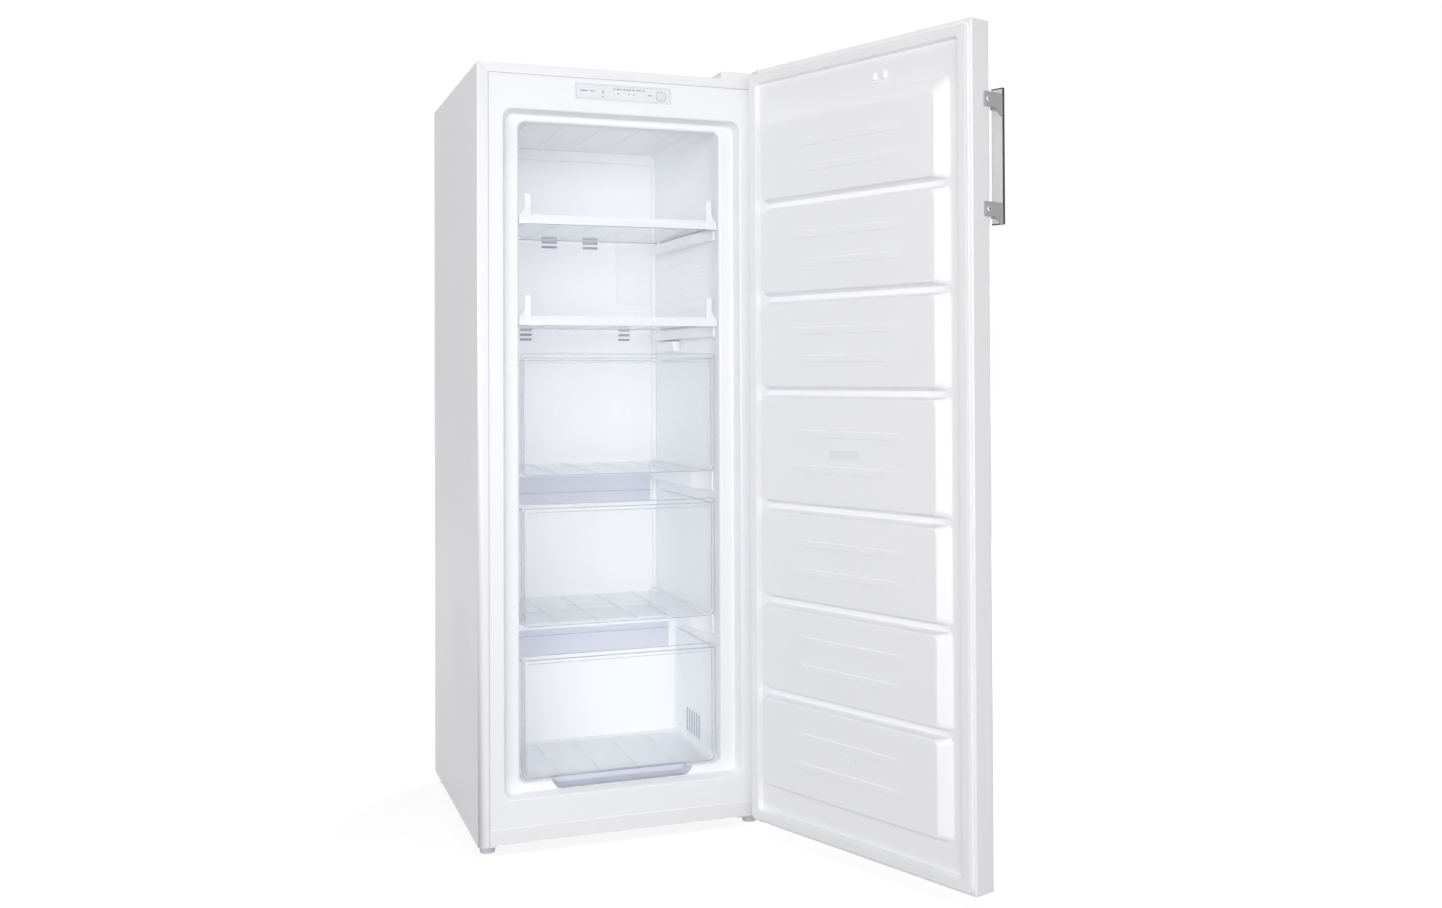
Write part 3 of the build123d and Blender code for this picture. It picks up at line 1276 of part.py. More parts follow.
def build_drain_pan():
    """Open tray on top of the compressor, under the drain tube."""
    length, width, height = PAN_SIZE
    with BuildPart() as drain_pan:
        with Locations((COMPRESSOR_X, MACHINE_MIDDLE, COMPRESSOR_TOP + height / 2)):
            Box(length, width, height)
        offset(amount=-PAN_WALL, openings=drain_pan.faces().sort_by(Axis.Z)[-1])
    return drain_pan.part


def build_condenser_coil():
    """Tube that runs to and fro across the compartment, on two upright strips."""
    low = BASE + COIL_RISE
    points = []
    for number in range(COIL_PASSES):
        ends = (COIL_LEFT, COIL_RIGHT) if number % 2 == 0 else (COIL_RIGHT, COIL_LEFT)
        points += [(x, MACHINE_MIDDLE, low + number * COIL_PITCH) for x in ends]
    with BuildPart() as condenser_coil:
        with BuildLine() as route:
            FilletPolyline(*points, radius=COIL_BEND)
        with BuildSketch(Plane(origin=route.line @ 0, z_dir=route.line % 0)):
            Circle(COIL_TUBE / 2)
        sweep()
        strip_height = (BASE_TOP, low + (COIL_PASSES - 1) * COIL_PITCH + COIL_BEND)
        thickness, width = COIL_STRIP
        for inset in COIL_STRIP_INSETS:
            x = -SIDE + inset
            y = (MACHINE_MIDDLE - width / 2, MACHINE_MIDDLE + width / 2)
            block((x - thickness / 2, x + thickness / 2), y, strip_height)
    return condenser_coil.part


def build_filter_drier():
    """Upright capsule clipped to the front wall of the compartment."""
    y = MACHINE_FRONT + SHEET + DRIER_DIAMETER
    z = (BASE + DRIER_RISE, BASE + DRIER_RISE + DRIER_LENGTH)
    with BuildPart() as filter_drier:
        post(DRIER_X, y, z, DRIER_DIAMETER)
        fillet(filter_drier.edges().filter_by(GeomType.CIRCLE), DRIER_DIAMETER / 4)
        x = (DRIER_X - DRIER_CLIP / 2, DRIER_X + DRIER_CLIP / 2)
        clip_z = (middle(z) - DRIER_CLIP / 2, middle(z) + DRIER_CLIP / 2)
        block(x, (MACHINE_FRONT + SHEET, y), clip_z)
    return filter_drier.part


def build_cable_gland():
    """Bushing in the louvred cover where the supply lead comes out."""
    y = (BACK - GLAND_LENGTH, BACK)
    z = BASE + GLAND_RISE
    with BuildPart() as cable_gland:
        rod(GLAND_X, y, z, GLAND_DIAMETER)
        rod(GLAND_X, y, z, GLAND_BORE, Mode.SUBTRACT)
    return cable_gland.part


DRAWER_NAMES = ("lower", "middle", "upper")
SHELF_NAMES = ("lower", "upper")

PIECES = {
    "cabinet_shell": build_cabinet_shell(),
    "bottom_front_rail": build_bottom_front_rail(),
    "bottom_panel": build_bottom_panel(),
    "back_panel": build_back_panel(),
    "compressor_base": build_compressor_base(),
    "machine_wall": build_machine_wall(),
    "machine_cover": build_machine_cover(),
    "inner_liner": build_inner_liner(),
    "insulation_foam": build_insulation_foam(),
    "rear_duct_cover": build_rear_duct_cover(),
    "sensor_cover": build_sensor_cover(),
    "evaporator": build_evaporator(),
    "defrost_heater": build_defrost_heater(),
    "evaporator_fan_motor": build_evaporator_fan_motor(),
    "evaporator_fan_wheel": build_evaporator_fan_wheel(),
    "drain_tube": build_drain_tube(),
    "shelf_rails": build_shelf_rails(),
    "drawer_rails": build_drawer_rails(),
    "tilt_stops": build_tilt_stops(),
    "control_panel": build_control_panel(),
    "control_board": build_control_board(),
    "control_button": build_control_button(),
    "indicator_lenses": build_indicator_lenses(),
    "door_skin": build_door_skin(),
    "door_top_cap": build_door_cap(
        DOOR_TOP, DOOR_TOP - DOOR_CAP, DOOR_TOP - DOOR_CAP - DOOR_PLUG, NOTCH_FLOOR, NOTCH_FLOOR - BUSH_LENGTH
    ),
    "door_bottom_cap": build_door_cap(
        DOOR_BOTTOM,
        DOOR_BOTTOM + DOOR_CAP,
        DOOR_BOTTOM + DOOR_CAP + DOOR_PLUG,
        DOOR_BOTTOM,
        DOOR_BOTTOM + BUSH_LENGTH,
    ),
    "hinge_bushes": build_hinge_bushes(),
    "door_liner": build_door_liner(),
    "door_foam": build_door_foam(),
    "door_gasket": build_door_gasket(),
    "gasket_magnet": build_gasket_magnet(),
    "handle_bar": build_handle_bar(),
    "handle_caps": build_handle_caps(),
    "handle_bracket_lower": build_handle_bracket(bracket_heights()[0]),
    "handle_bracket_upper": build_handle_bracket(bracket_heights()[1]),
    "handle_screws": build_handle_screws(),
    "top_hinge": build_top_hinge(),
    "hinge_cover": build_hinge_cover(),
    "bottom_hinge": build_bottom_hinge(),
    "hinge_screws": build_hinge_screws(),
    "front_foot_left": build_front_foot(FRONT_FEET[0]),
    "front_foot_right": build_front_foot(FRONT_FEET[1]),
    "rear_feet": build_rear_feet(),
    "compressor": build_compressor(),
    "compressor_grommets": build_compressor_grommets(),
    "start_relay": build_start_relay(),
    "drain_pan": build_drain_pan(),
    "condenser_coil": build_condenser_coil(),
    "filter_drier": build_filter_drier(),
    "cable_gland": build_cable_gland(),
}
for level, name in enumerate(SHELF_NAMES):
    PIECES[f"shelf_{name}_plate"] = build_shelf_plate(SHELF_LEVELS[level])
    PIECES[f"shelf_{name}_trim"] = build_shelf_trim(SHELF_LEVELS[level])
for level, name in enumerate(DRAWER_NAMES):
    PIECES[f"drawer_{name}_tub"] = build_drawer_tub(level)
    PIECES[f"drawer_{name}_front"] = build_drawer_front(level)

os.makedirs("parts", exist_ok=True)
for name, piece in PIECES.items():
    piece.label = name
    export_step(piece, f"parts/{name}.step")
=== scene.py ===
"""Looks of an upright freezer that stands with its door open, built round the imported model.

Sizes are in millimetres in this file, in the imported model's own frame: X to the right, Y to the back and Z up,
from the floor under the middle of the cabinet. Forms turn them into metres as they become objects.
"""

import json
import logging
import math
from dataclasses import dataclass
from enum import Enum
from typing import ClassVar

import bmesh
import bpy
from mathutils import Matrix, Vector


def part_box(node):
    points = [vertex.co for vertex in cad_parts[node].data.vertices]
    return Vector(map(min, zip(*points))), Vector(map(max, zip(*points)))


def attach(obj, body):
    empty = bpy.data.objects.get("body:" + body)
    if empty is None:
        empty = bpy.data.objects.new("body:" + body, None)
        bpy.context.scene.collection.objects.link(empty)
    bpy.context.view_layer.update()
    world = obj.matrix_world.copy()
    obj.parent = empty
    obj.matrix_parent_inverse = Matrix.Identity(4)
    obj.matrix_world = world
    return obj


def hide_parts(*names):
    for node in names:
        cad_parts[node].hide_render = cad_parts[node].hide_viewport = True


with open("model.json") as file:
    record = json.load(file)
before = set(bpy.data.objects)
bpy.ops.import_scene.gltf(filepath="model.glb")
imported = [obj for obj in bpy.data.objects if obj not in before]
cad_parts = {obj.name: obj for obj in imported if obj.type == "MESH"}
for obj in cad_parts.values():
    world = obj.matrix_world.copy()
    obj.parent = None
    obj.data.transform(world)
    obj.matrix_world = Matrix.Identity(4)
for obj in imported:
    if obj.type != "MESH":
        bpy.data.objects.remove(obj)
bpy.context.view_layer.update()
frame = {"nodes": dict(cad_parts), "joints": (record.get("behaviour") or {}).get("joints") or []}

MM = 0.001
LOG = logging.getLogger("freezer")

Pair = tuple[float, float]
Colour = tuple[float, float, float]


# Measures


def srgb(red: float, green: float, blue: float) -> Colour:
    """Linear colour of a screen colour.

    Args:
        red: Red part, from 0 to 255.
        green: Green part, from 0 to 255.
        blue: Blue part, from 0 to 255.

    Returns:
        The three linear parts.
    """
    shares = (part / 255 for part in (red, green, blue))
    return tuple(s / 12.92 if s <= 0.04045 else ((s + 0.055) / 1.055) ** 2.4 for s in shares)


def both(half: float) -> Pair:
    """Low and high value on either side of zero."""
    return (-half, half)


def middle(pair: Pair) -> float:
    """Middle of a low and a high value."""
    return (pair[0] + pair[1]) / 2


def span(pair: Pair) -> float:
    """Distance from a low to a high value."""
    return pair[1] - pair[0]


def grown(pair: Pair, amount: float) -> Pair:
    """Range made longer by an amount at each end."""
    return (pair[0] - amount, pair[1] + amount)


@dataclass(frozen=True)
class Room:
    """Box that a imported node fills, in millimetres."""

    x: Pair
    y: Pair
    z: Pair

    @classmethod
    def of(cls, node: str) -> "Room":
        """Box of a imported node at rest."""
        low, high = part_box(node)
        return cls(*((low[axis] / MM, high[axis] / MM) for axis in range(3)))


@dataclass(frozen=True)
class Hinge:
    """Upright line that the door turns about, and how far the door stands open."""

    x: float
    y: float
    angle: float

    @classmethod
    def of(cls, joint: str) -> "Hinge":
        """Hinge of a packed joint whose low limit is the closed door."""
        found = next(j for j in frame["joints"] if j["name"] == joint)
        x, y, _ = found["pos_m"]
        return cls(x / MM, y / MM, -math.radians(found["range_deg"][0]))

    def closed_room(self, node: str) -> Room:
        """Box that a node of the open door fills once the door is turned shut."""
        pivot = Vector((self.x, self.y, 0)) * MM
        turn = Matrix.Rotation(-self.angle, 3, "Z")
        points = [pivot + turn @ (v.co - pivot) for v in frame["nodes"][node].data.vertices]
        ranges = []
        for axis in range(3):
            values = [point[axis] / MM for point in points]
            ranges.append((min(values), max(values)))
        return Room(*ranges)


class Facing(Enum):
    """Axis that an outline faces, as the rows of the matrix that lays it there."""

    X = ((0, 0, 1, 0), (1, 0, 0, 0), (0, 1, 0, 0), (0, 0, 0, 1))
    Y = ((1, 0, 0, 0), (0, 0, 1, 0), (0, 1, 0, 0), (0, 0, 0, 1))
    Z = ((1, 0, 0, 0), (0, 1, 0, 0), (0, 0, 1, 0), (0, 0, 0, 1))

    @property
    def matrix(self) -> Matrix:
        """Matrix from the outline's own plane to this one."""
        return Matrix(self.value)


# Shader nodes


class Value:
    """Number on a shader socket, which Python's operators extend with Math nodes."""

    def __init__(self, graph: "Graph", socket: bpy.types.NodeSocket) -> None:
        """Wrap an output socket of a graph."""
        self.graph = graph
        self.socket = socket

    def math(self, operation: str, *others: "Value | float") -> "Value":
        """Result of a Math node on this value and others."""
        inputs = dict(enumerate((self, *others)))
        return self.graph.value("ShaderNodeMath", {"operation": operation}, inputs)

    def __add__(self, other: "Value | float") -> "Value":
        """Sum."""
        return self.math("ADD", other)

    __radd__ = __add__

    def __sub__(self, other: "Value | float") -> "Value":
        """Difference."""
        return self.math("SUBTRACT", other)

    def __rsub__(self, other: float) -> "Value":
        """Difference from a number."""
        return self.graph.value("ShaderNodeMath", {"operation": "SUBTRACT"}, {0: other, 1: self})

    def __mul__(self, other: "Value | float") -> "Value":
        """Product."""
        return self.math("MULTIPLY", other)

    __rmul__ = __mul__

    def __lt__(self, other: "Value | float") -> "Value":
        """One where this value is the smaller, else zero."""
        return self.math("LESS_THAN", other)

    def __gt__(self, other: "Value | float") -> "Value":
        """One where this value is the larger, else zero."""
        return self.math("GREATER_THAN", other)

    def __abs__(self) -> "Value":
        """Size without its sign."""
        return self.math("ABSOLUTE")

    def __pow__(self, power: float) -> "Value":
        """Power."""
        return self.math("POWER", power)

    def stretched(self, low: float, high: float) -> "Value":
        """This value, from 0 to 1, moved to another range."""
        return self * (high - low) + low


class Graph:
    """Node tree of one material."""

    def __init__(self, name: str) -> None:
        """Start an empty material of that name."""
        self.material = bpy.data.materials.new(name)
        self.material.use_nodes = True
        self.tree = self.material.node_tree
        self.tree.nodes.clear()

    def node(self, kind: str, settings: dict | None = None, inputs: dict | None = None) -> bpy.types.Node:
        """Add a node.

        Args:
            kind: Blender's name of the node's type.
            settings: Attributes, which are set first.
            inputs: Values or links by the input's name or number.

        Returns:
            The new node.
        """
        made = self.tree.nodes.new(kind)
        for key, setting in (settings or {}).items():
            setattr(made, key, setting)
        for key, given in (inputs or {}).items():
            if isinstance(given, Value):
                self.tree.links.new(given.socket, made.inputs[key])
            elif isinstance(given, bpy.types.NodeSocket):
                self.tree.links.new(given, made.inputs[key])
            else:
                made.inputs[key].default_value = given
        return made

    def value(
        self, kind: str, settings: dict | None = None, inputs: dict | None = None, output: int | str = 0
    ) -> Value:
        """Add a node and wrap one of its outputs."""
        return Value(self, self.node(kind, settings, inputs).outputs[output])

    def place(self, scale: tuple[float, float, float] = (1, 1, 1)) -> bpy.types.NodeSocket:
        """Object coordinates, stretched along each axis."""
        spot = self.node("ShaderNodeTexCoord").outputs["Object"]
        return self.node("ShaderNodeMapping", None, {"Vector": spot, "Scale": scale}).outputs[0]

    def noise(self, scale: float, detail: float = 2.0, stretch: tuple[float, float, float] = (1, 1, 1)) -> Value:
        """Soft noise with so many cells a metre."""
        inputs = {"Vector": self.place(stretch), "Scale": scale, "Detail": detail}
        return self.value("ShaderNodeTexNoise", None, inputs, "Fac")

    def axes(self) -> tuple[Value, Value, Value]:
        """Object coordinates as three values, in metres."""
        parts = self.node("ShaderNodeSeparateXYZ", None, {0: self.place()})
        return tuple(Value(self, socket) for socket in parts.outputs)

    def mix(self, share: Value, first: Colour | bpy.types.NodeSocket, second: Colour) -> bpy.types.NodeSocket:
        """Colour between two others."""
        ends = [c if isinstance(c, bpy.types.NodeSocket) else (*c, 1.0) for c in (first, second)]
        inputs = {"Factor": share, 6: ends[0], 7: ends[1]}
        return self.node("ShaderNodeMix", {"data_type": "RGBA"}, inputs).outputs[2]

    def bump(self, height: Value, strength: float, depth: float) -> bpy.types.NodeSocket:
        """Normal of a surface with that relief, depth in millimetres."""
        inputs = {"Height": height, "Strength": strength, "Distance": depth * MM}
        return self.node("ShaderNodeBump", None, inputs).outputs[0]

    def surface(self, **inputs: object) -> bpy.types.Material:
        """Close the material with a principled surface.

        Args:
            inputs: Values or links by the socket's name, with _ for a space.

        Returns:
            The finished material.
        """
        named = {key.replace("_", " "): given for key, given in inputs.items()}
        shader = self.node("ShaderNodeBsdfPrincipled", None, named)
        self.node("ShaderNodeOutputMaterial", None, {"Surface": shader.outputs[0]})
        return self.material


# Finishes


@dataclass(frozen=True)
class Finish:
    """Surface of a piece, made into a material once."""

    name: str
    slot: str
    colour: Colour
    roughness: float = 0.4

    def material(self) -> bpy.types.Material:
        """Material of this finish, shared by all its pieces."""
        return bpy.data.materials.get(self.name) or self.build(Graph(self.name))

    def build(self, graph: Graph) -> bpy.types.Material:
        """Nodes of the finish."""
        raise NotImplementedError

    def shaded(self, amount: float) -> Colour:
        """The colour made darker by a share."""
        return tuple(part * (1 - amount) for part in self.colour)


@dataclass(frozen=True)
class Enamel(Finish):
    """Baked enamel on sheet steel: a faint orange peel, cloudy gloss and a clear top."""

    peel: float = 700.0

    def build(self, graph: Graph) -> bpy.types.Material:
        """Nodes of the enamel."""
        cloud = graph.noise(3.5, 3.0)
        peel = graph.noise(self.peel, 1.0)
        return graph.surface(
            Base_Color=graph.mix(cloud, self.colour, self.shaded(0.025)),
            Roughness=cloud.stretched(self.roughness - 0.05, self.roughness + 0.06),
            Normal=graph.bump(peel, 0.12, 0.03),
            Coat_Weight=0.25,
            Coat_Roughness=0.12,
        )


@dataclass(frozen=True)
class FoldedEnamel(Enamel):
    """Enamel with the mitred seams where the front flanges meet at the top corners, and a painted shade line along
    the flanges' inner edge.
    """

    side: float = 272.5
    top: float = 1416.0
    flange: float = 21.0
    front: float = -266.9
    # Half-width of the mitre seam's mark.
    seam_and_shade: float = 0.35
    drop: float = 18.0
    step_shade: float = 1.3

    def build(self, graph: Graph) -> bpy.types.Material:
        """Nodes of the enamel, its seams and the painted shade line."""
        cloud = graph.noise(3.5, 3.0)
        peel = graph.noise(self.peel, 1.0)
        x, y, z = graph.axes()
        inward = self.side * MM - abs(x)
        downward = self.top * MM - z
        on_seam = (abs(inward - downward) < self.seam_and_shade * MM) * (inward < self.flange * MM)
        # Painted shade: a darker line along the inner edge of the front flange, where it steps down to the liner.
        step_shade = (inward > (self.flange - self.step_shade) * MM) * (downward > (self.drop - self.step_shade) * MM)
        # Mask of the real mitre seams together with that painted shade line.
        seam_and_shade = on_seam.math("MAXIMUM", step_shade) * (y < self.front * MM)
        plain = graph.mix(cloud, self.colour, self.shaded(0.025))
        return graph.surface(
            Base_Color=graph.mix(seam_and_shade, plain, self.shaded(0.35)),
            Roughness=cloud.stretched(self.roughness - 0.05, self.roughness + 0.06),
            Normal=graph.bump(peel - seam_and_shade, 0.12, 0.03),
            Coat_Weight=0.25,
            Coat_Roughness=0.12,
        )


@dataclass(frozen=True)
class Moulded(Finish):
    """Moulded plastic: a fine grain, slow waves and flow shading."""

    grain: float = 1500.0
    relief: float = 0.03

    def build(self, graph: Graph) -> bpy.types.Material:
        """Nodes of the plastic."""
        flow = graph.noise(5.0, 3.0)
        wave = graph.noise(14.0, 1.0)
        grain = graph.noise(self.grain, 2.0)
        height = grain * 0.35 + wave * 4.0
        return graph.surface(
            Base_Color=graph.mix(flow, self.colour, self.shaded(0.03)),
            Roughness=(flow * 0.5 + grain * 0.5).stretched(self.roughness - 0.07, self.roughness + 0.07),
            Normal=graph.bump(height, 0.2, self.relief),
        )


@dataclass(frozen=True)
class ClearPlastic(Finish):
    """Clear plastic that turns milky and grey-blue where it is seen along its thickness."""

    edge: Colour = (0.4, 0.45, 0.55)
    thin: float = 0.015
    thick: float = 0.48
    falloff: float = 4.5

    def build(self, graph: Graph) -> bpy.types.Material:
        """Nodes of the clear plastic."""
        facing = graph.value("ShaderNodeLayerWeight", None, {"Blend": 0.5}, "Facing")
        rim = facing ** self.falloff
        flow = graph.noise(9.0, 2.0)
        alpha = rim.stretched(self.thin, self.thick) + flow * 0.02
        return graph.surface(
            Base_Color=graph.mix(rim, self.colour, self.edge),
            Roughness=flow.stretched(self.roughness, self.roughness + 0.08),
            Normal=graph.bump(flow, 0.3, 0.4),
            Alpha=alpha,
            Specular_IOR_Level=0.8,
        )


@dataclass(frozen=True)
class BrushedMetal(Finish):
    """Metal brushed along Z: long fine lines in its gloss, colour and relief."""

    lines: float = 2600.0

    def build(self, graph: Graph) -> bpy.types.Material:
        """Nodes of the brushed metal."""
        fine = graph.noise(self.lines, 3.0, (1, 1, 0.012))
        broad = graph.noise(self.lines / 6, 2.0, (1, 1, 0.02))
        lines = fine * 0.6 + broad * 0.4
        return graph.surface(
            Base_Color=graph.mix(lines, self.shaded(0.25), self.colour),
            Roughness=lines.stretched(self.roughness - 0.1, self.roughness + 0.12),
            Metallic=1.0,
            Normal=graph.bump(lines, 0.35, 0.02),
        )


@dataclass(frozen=True)
class SheetMetal(Finish):
    """Bare or plated metal with a patchwork of crystals."""

    crystals: float = 90.0
    metallic: float = 1.0

    def build(self, graph: Graph) -> bpy.types.Material:
        """Nodes of the metal."""
        cells = graph.node("ShaderNodeTexVoronoi", None, {"Vector": graph.place(), "Scale": self.crystals})
        tone = graph.node("ShaderNodeSeparateColor", None, {0: cells.outputs["Color"]})
        patch = Value(graph, tone.outputs[0])
        smear = graph.noise(25.0, 4.0)
        return graph.surface(
            Base_Color=graph.mix(patch * 0.5 + smear * 0.5, self.colour, self.shaded(0.22)),
            Roughness=(patch * 0.4 + smear * 0.6).stretched(self.roughness - 0.08, self.roughness + 0.14),
            Metallic=self.metallic,
            Normal=graph.bump(smear, 0.15, 0.05),
        )


@dataclass(frozen=True)
class Rubber(Finish):
    """Soft matt skin with a fine tooth."""

    tooth: float = 900.0

    def build(self, graph: Graph) -> bpy.types.Material:
        """Nodes of the rubber."""
        tooth = graph.noise(self.tooth, 3.0)
        dust = graph.noise(12.0, 3.0)
        return graph.surface(
            Base_Color=graph.mix(dust, self.colour, self.shaded(0.05)),
            Roughness=tooth.stretched(self.roughness - 0.05, self.roughness + 0.1),
            Normal=graph.bump(tooth, 0.25, 0.05),
        )


@dataclass(frozen=True)
class Foam(Finish):
    """Rigid foam: small open cells under a darker crust."""

    cells: float = 500.0

    def build(self, graph: Graph) -> bpy.types.Material:
        """Nodes of the foam."""
        inputs = {"Vector": graph.place(), "Scale": self.cells}
        cells = graph.value("ShaderNodeTexVoronoi", None, inputs, "Distance")
        crust = graph.noise(8.0, 4.0)
        return graph.surface(
            Base_Color=graph.mix(crust * 0.6 + cells * 0.4, self.colour, self.shaded(0.3)),
            Roughness=crust.stretched(0.75, 0.95),
            Normal=graph.bump(cells, 0.6, 0.5),
        )


@dataclass(frozen=True)
class CircuitBoard(Finish):
    """Lacquered laminate with faint tracks."""

    tracks: float = 380.0

    def build(self, graph: Graph) -> bpy.types.Material:
        """Nodes of the board."""
        inputs = {"Vector": graph.place((1, 1, 0.2)), "Scale": self.tracks}
        wave = graph.value("ShaderNodeTexWave", {"bands_direction": "X"}, inputs, "Fac")
        tracks = wave > 0.7
        return graph.surface(
            Base_Color=graph.mix(tracks, self.colour, self.shaded(-0.6)),
            Roughness=tracks.stretched(0.3, 0.45),
            Normal=graph.bump(tracks, 0.3, 0.05),
        )


WHITE_STEEL = FoldedEnamel("folded_white_enamel", "white_steel", srgb(242, 242, 245), 0.3)
DOOR_STEEL = Enamel("white_enamel", "white_steel", srgb(245, 245, 247), 0.3)
# Lavender grey of painted shade, for the bands between the drawers and the drip notch, standing in for the shade that
# falls there.
SHADE_PLASTIC = Moulded("painted_shade_lavender", "white_plastic", srgb(214, 216, 228), 0.4)
LINER_PLASTIC = Moulded("thermoformed_white", "white_plastic", srgb(247, 248, 250), 0.34)
DOOR_PLASTIC = Moulded("thermoformed_door", "white_plastic", srgb(250, 250, 252), 0.38)
CAP_PLASTIC = Moulded("moulded_white", "panel_plastic", srgb(243, 243, 245), 0.4)
PANEL_PLASTIC = Moulded("panel_white", "panel_plastic", srgb(238, 239, 243), 0.3, grain=2600.0)
TRIM_PLASTIC = Moulded("trim_white", "clear_plastic", srgb(244, 246, 250), 0.18, relief=0.01)
CLEAR = ClearPlastic("clear_polystyrene", "clear_plastic", srgb(238, 241, 246), 0.06, srgb(176, 184, 200))
# Grey-blue of painted shade, for lines along the clear plastic's edges and under the shelf trims.
CLEAR_EDGE_SHADE = ClearPlastic("clear_edge_shade", "clear_plastic", srgb(176, 182, 198), 0.08, srgb(138, 146, 168), 0.45, 0.9)
SOFT_VINYL = Rubber("soft_white_vinyl", "gasket", srgb(248, 248, 249), 0.5)
BRUSHED = BrushedMetal("brushed_steel", "bar_metal", srgb(236, 235, 233), 0.32)
BRACKET_GREY = Moulded("bracket_grey", "dark_plastic", srgb(170, 170, 172), 0.45, grain=1900.0, relief=0.05)
BLACK_PLASTIC = Moulded("black_plastic", "dark_plastic", srgb(30, 30, 32), 0.4)
BUTTON_PLASTIC = Moulded("button_grey", "button_plastic", srgb(236, 237, 240), 0.22, grain=3000.0)
INK = Moulded("printed_grey", "panel_plastic", srgb(124, 126, 136), 0.5, grain=3000.0)
LENS = Moulded("lens_grey", "lens", srgb(196, 206, 208), 0.12, grain=3000.0, relief=0.01)
VENT_SHADE = Moulded("vent_shade", "white_plastic", srgb(176, 180, 192), 0.5)
GRILLE_SHADE = Moulded("grille_shade", "white_plastic", srgb(150, 154, 168), 0.5)
OUTLINE_SHADE = Moulded("outline_shade", "panel_plastic", srgb(212, 214, 222), 0.4)
ZINC = SheetMetal("zinc_plated", "zinc_steel", srgb(198, 200, 204), 0.36)
SCREW_STEEL = SheetMetal("screw_steel", "zinc_steel", srgb(205, 206, 208), 0.28, crystals=900.0)
ALUMINIUM = SheetMetal("mill_aluminium", "aluminium", srgb(220, 222, 226), 0.34, crystals=400.0)
BLACK_PAINT = SheetMetal("black_paint", "black_paint", srgb(38, 38, 40), 0.35, crystals=700.0, metallic=0.0)
COPPER = SheetMetal("copper_tube", "copper", srgb(205, 140, 100), 0.3, crystals=500.0)
MAGNET = Rubber("flexible_magnet", "magnet", srgb(70, 68, 66), 0.7)
BLACK_RUBBER = Rubber("black_rubber", "mount_rubber", srgb(42, 42, 44), 0.7)
FOOT_NYLON = Moulded("foot_nylon", "foot_plastic", srgb(214, 215, 219), 0.42)
POLYURETHANE = Foam("rigid_foam", "foam", srgb(240, 226, 168))
LAMINATE = CircuitBoard("green_laminate", "board", srgb(48, 120, 72))

CARRIED_OVER = {
    "bottom_front_rail": DOOR_STEEL,
    "bottom_panel": ZINC,
    "back_panel": DOOR_STEEL,
    "compressor_base": ZINC,
    "machine_wall": ZINC,
    "machine_cover": DOOR_STEEL,
    "insulation_foam": POLYURETHANE,
    "evaporator": ALUMINIUM,
    "defrost_heater": ALUMINIUM,
    "evaporator_fan_motor": BLACK_PLASTIC,
    "evaporator_fan_wheel": BLACK_PLASTIC,
    "drain_tube": CAP_PLASTIC,
    "control_board": LAMINATE,
    "hinge_bushes": CAP_PLASTIC,
    "door_foam": POLYURETHANE,
    "gasket_magnet": MAGNET,
    "top_hinge": ZINC,
    "hinge_cover": CAP_PLASTIC,
    "bottom_hinge": ZINC,
    "hinge_screws": SCREW_STEEL,
    "rear_feet": FOOT_NYLON,
    "compressor": BLACK_PAINT,
    "compressor_grommets": BLACK_RUBBER,
    "start_relay": BLACK_PLASTIC,
    "drain_pan": BLACK_PLASTIC,
    "condenser_coil": BLACK_PAINT,
    "filter_drier": COPPER,
    "cable_gland": BLACK_PLASTIC,
}


# Forms


@dataclass(frozen=True)
class Outline:
    """Rectangle with round corners, across and up its own plane."""

    across: Pair
    up: Pair
    radius: float = 0.0
    upper_radius: float | None = None

    LEAST_RADIUS: ClassVar[float] = 0.3

    def grown(self, amount: float) -> "Outline":
        """The outline made larger on every side, its corners with it."""
        upper = None if self.upper_radius is None else max(self.upper_radius + amount, self.LEAST_RADIUS)
        radius = max(self.radius + amount, self.LEAST_RADIUS)
        return Outline(grown(self.across, amount), grown(self.up, amount), radius, upper)


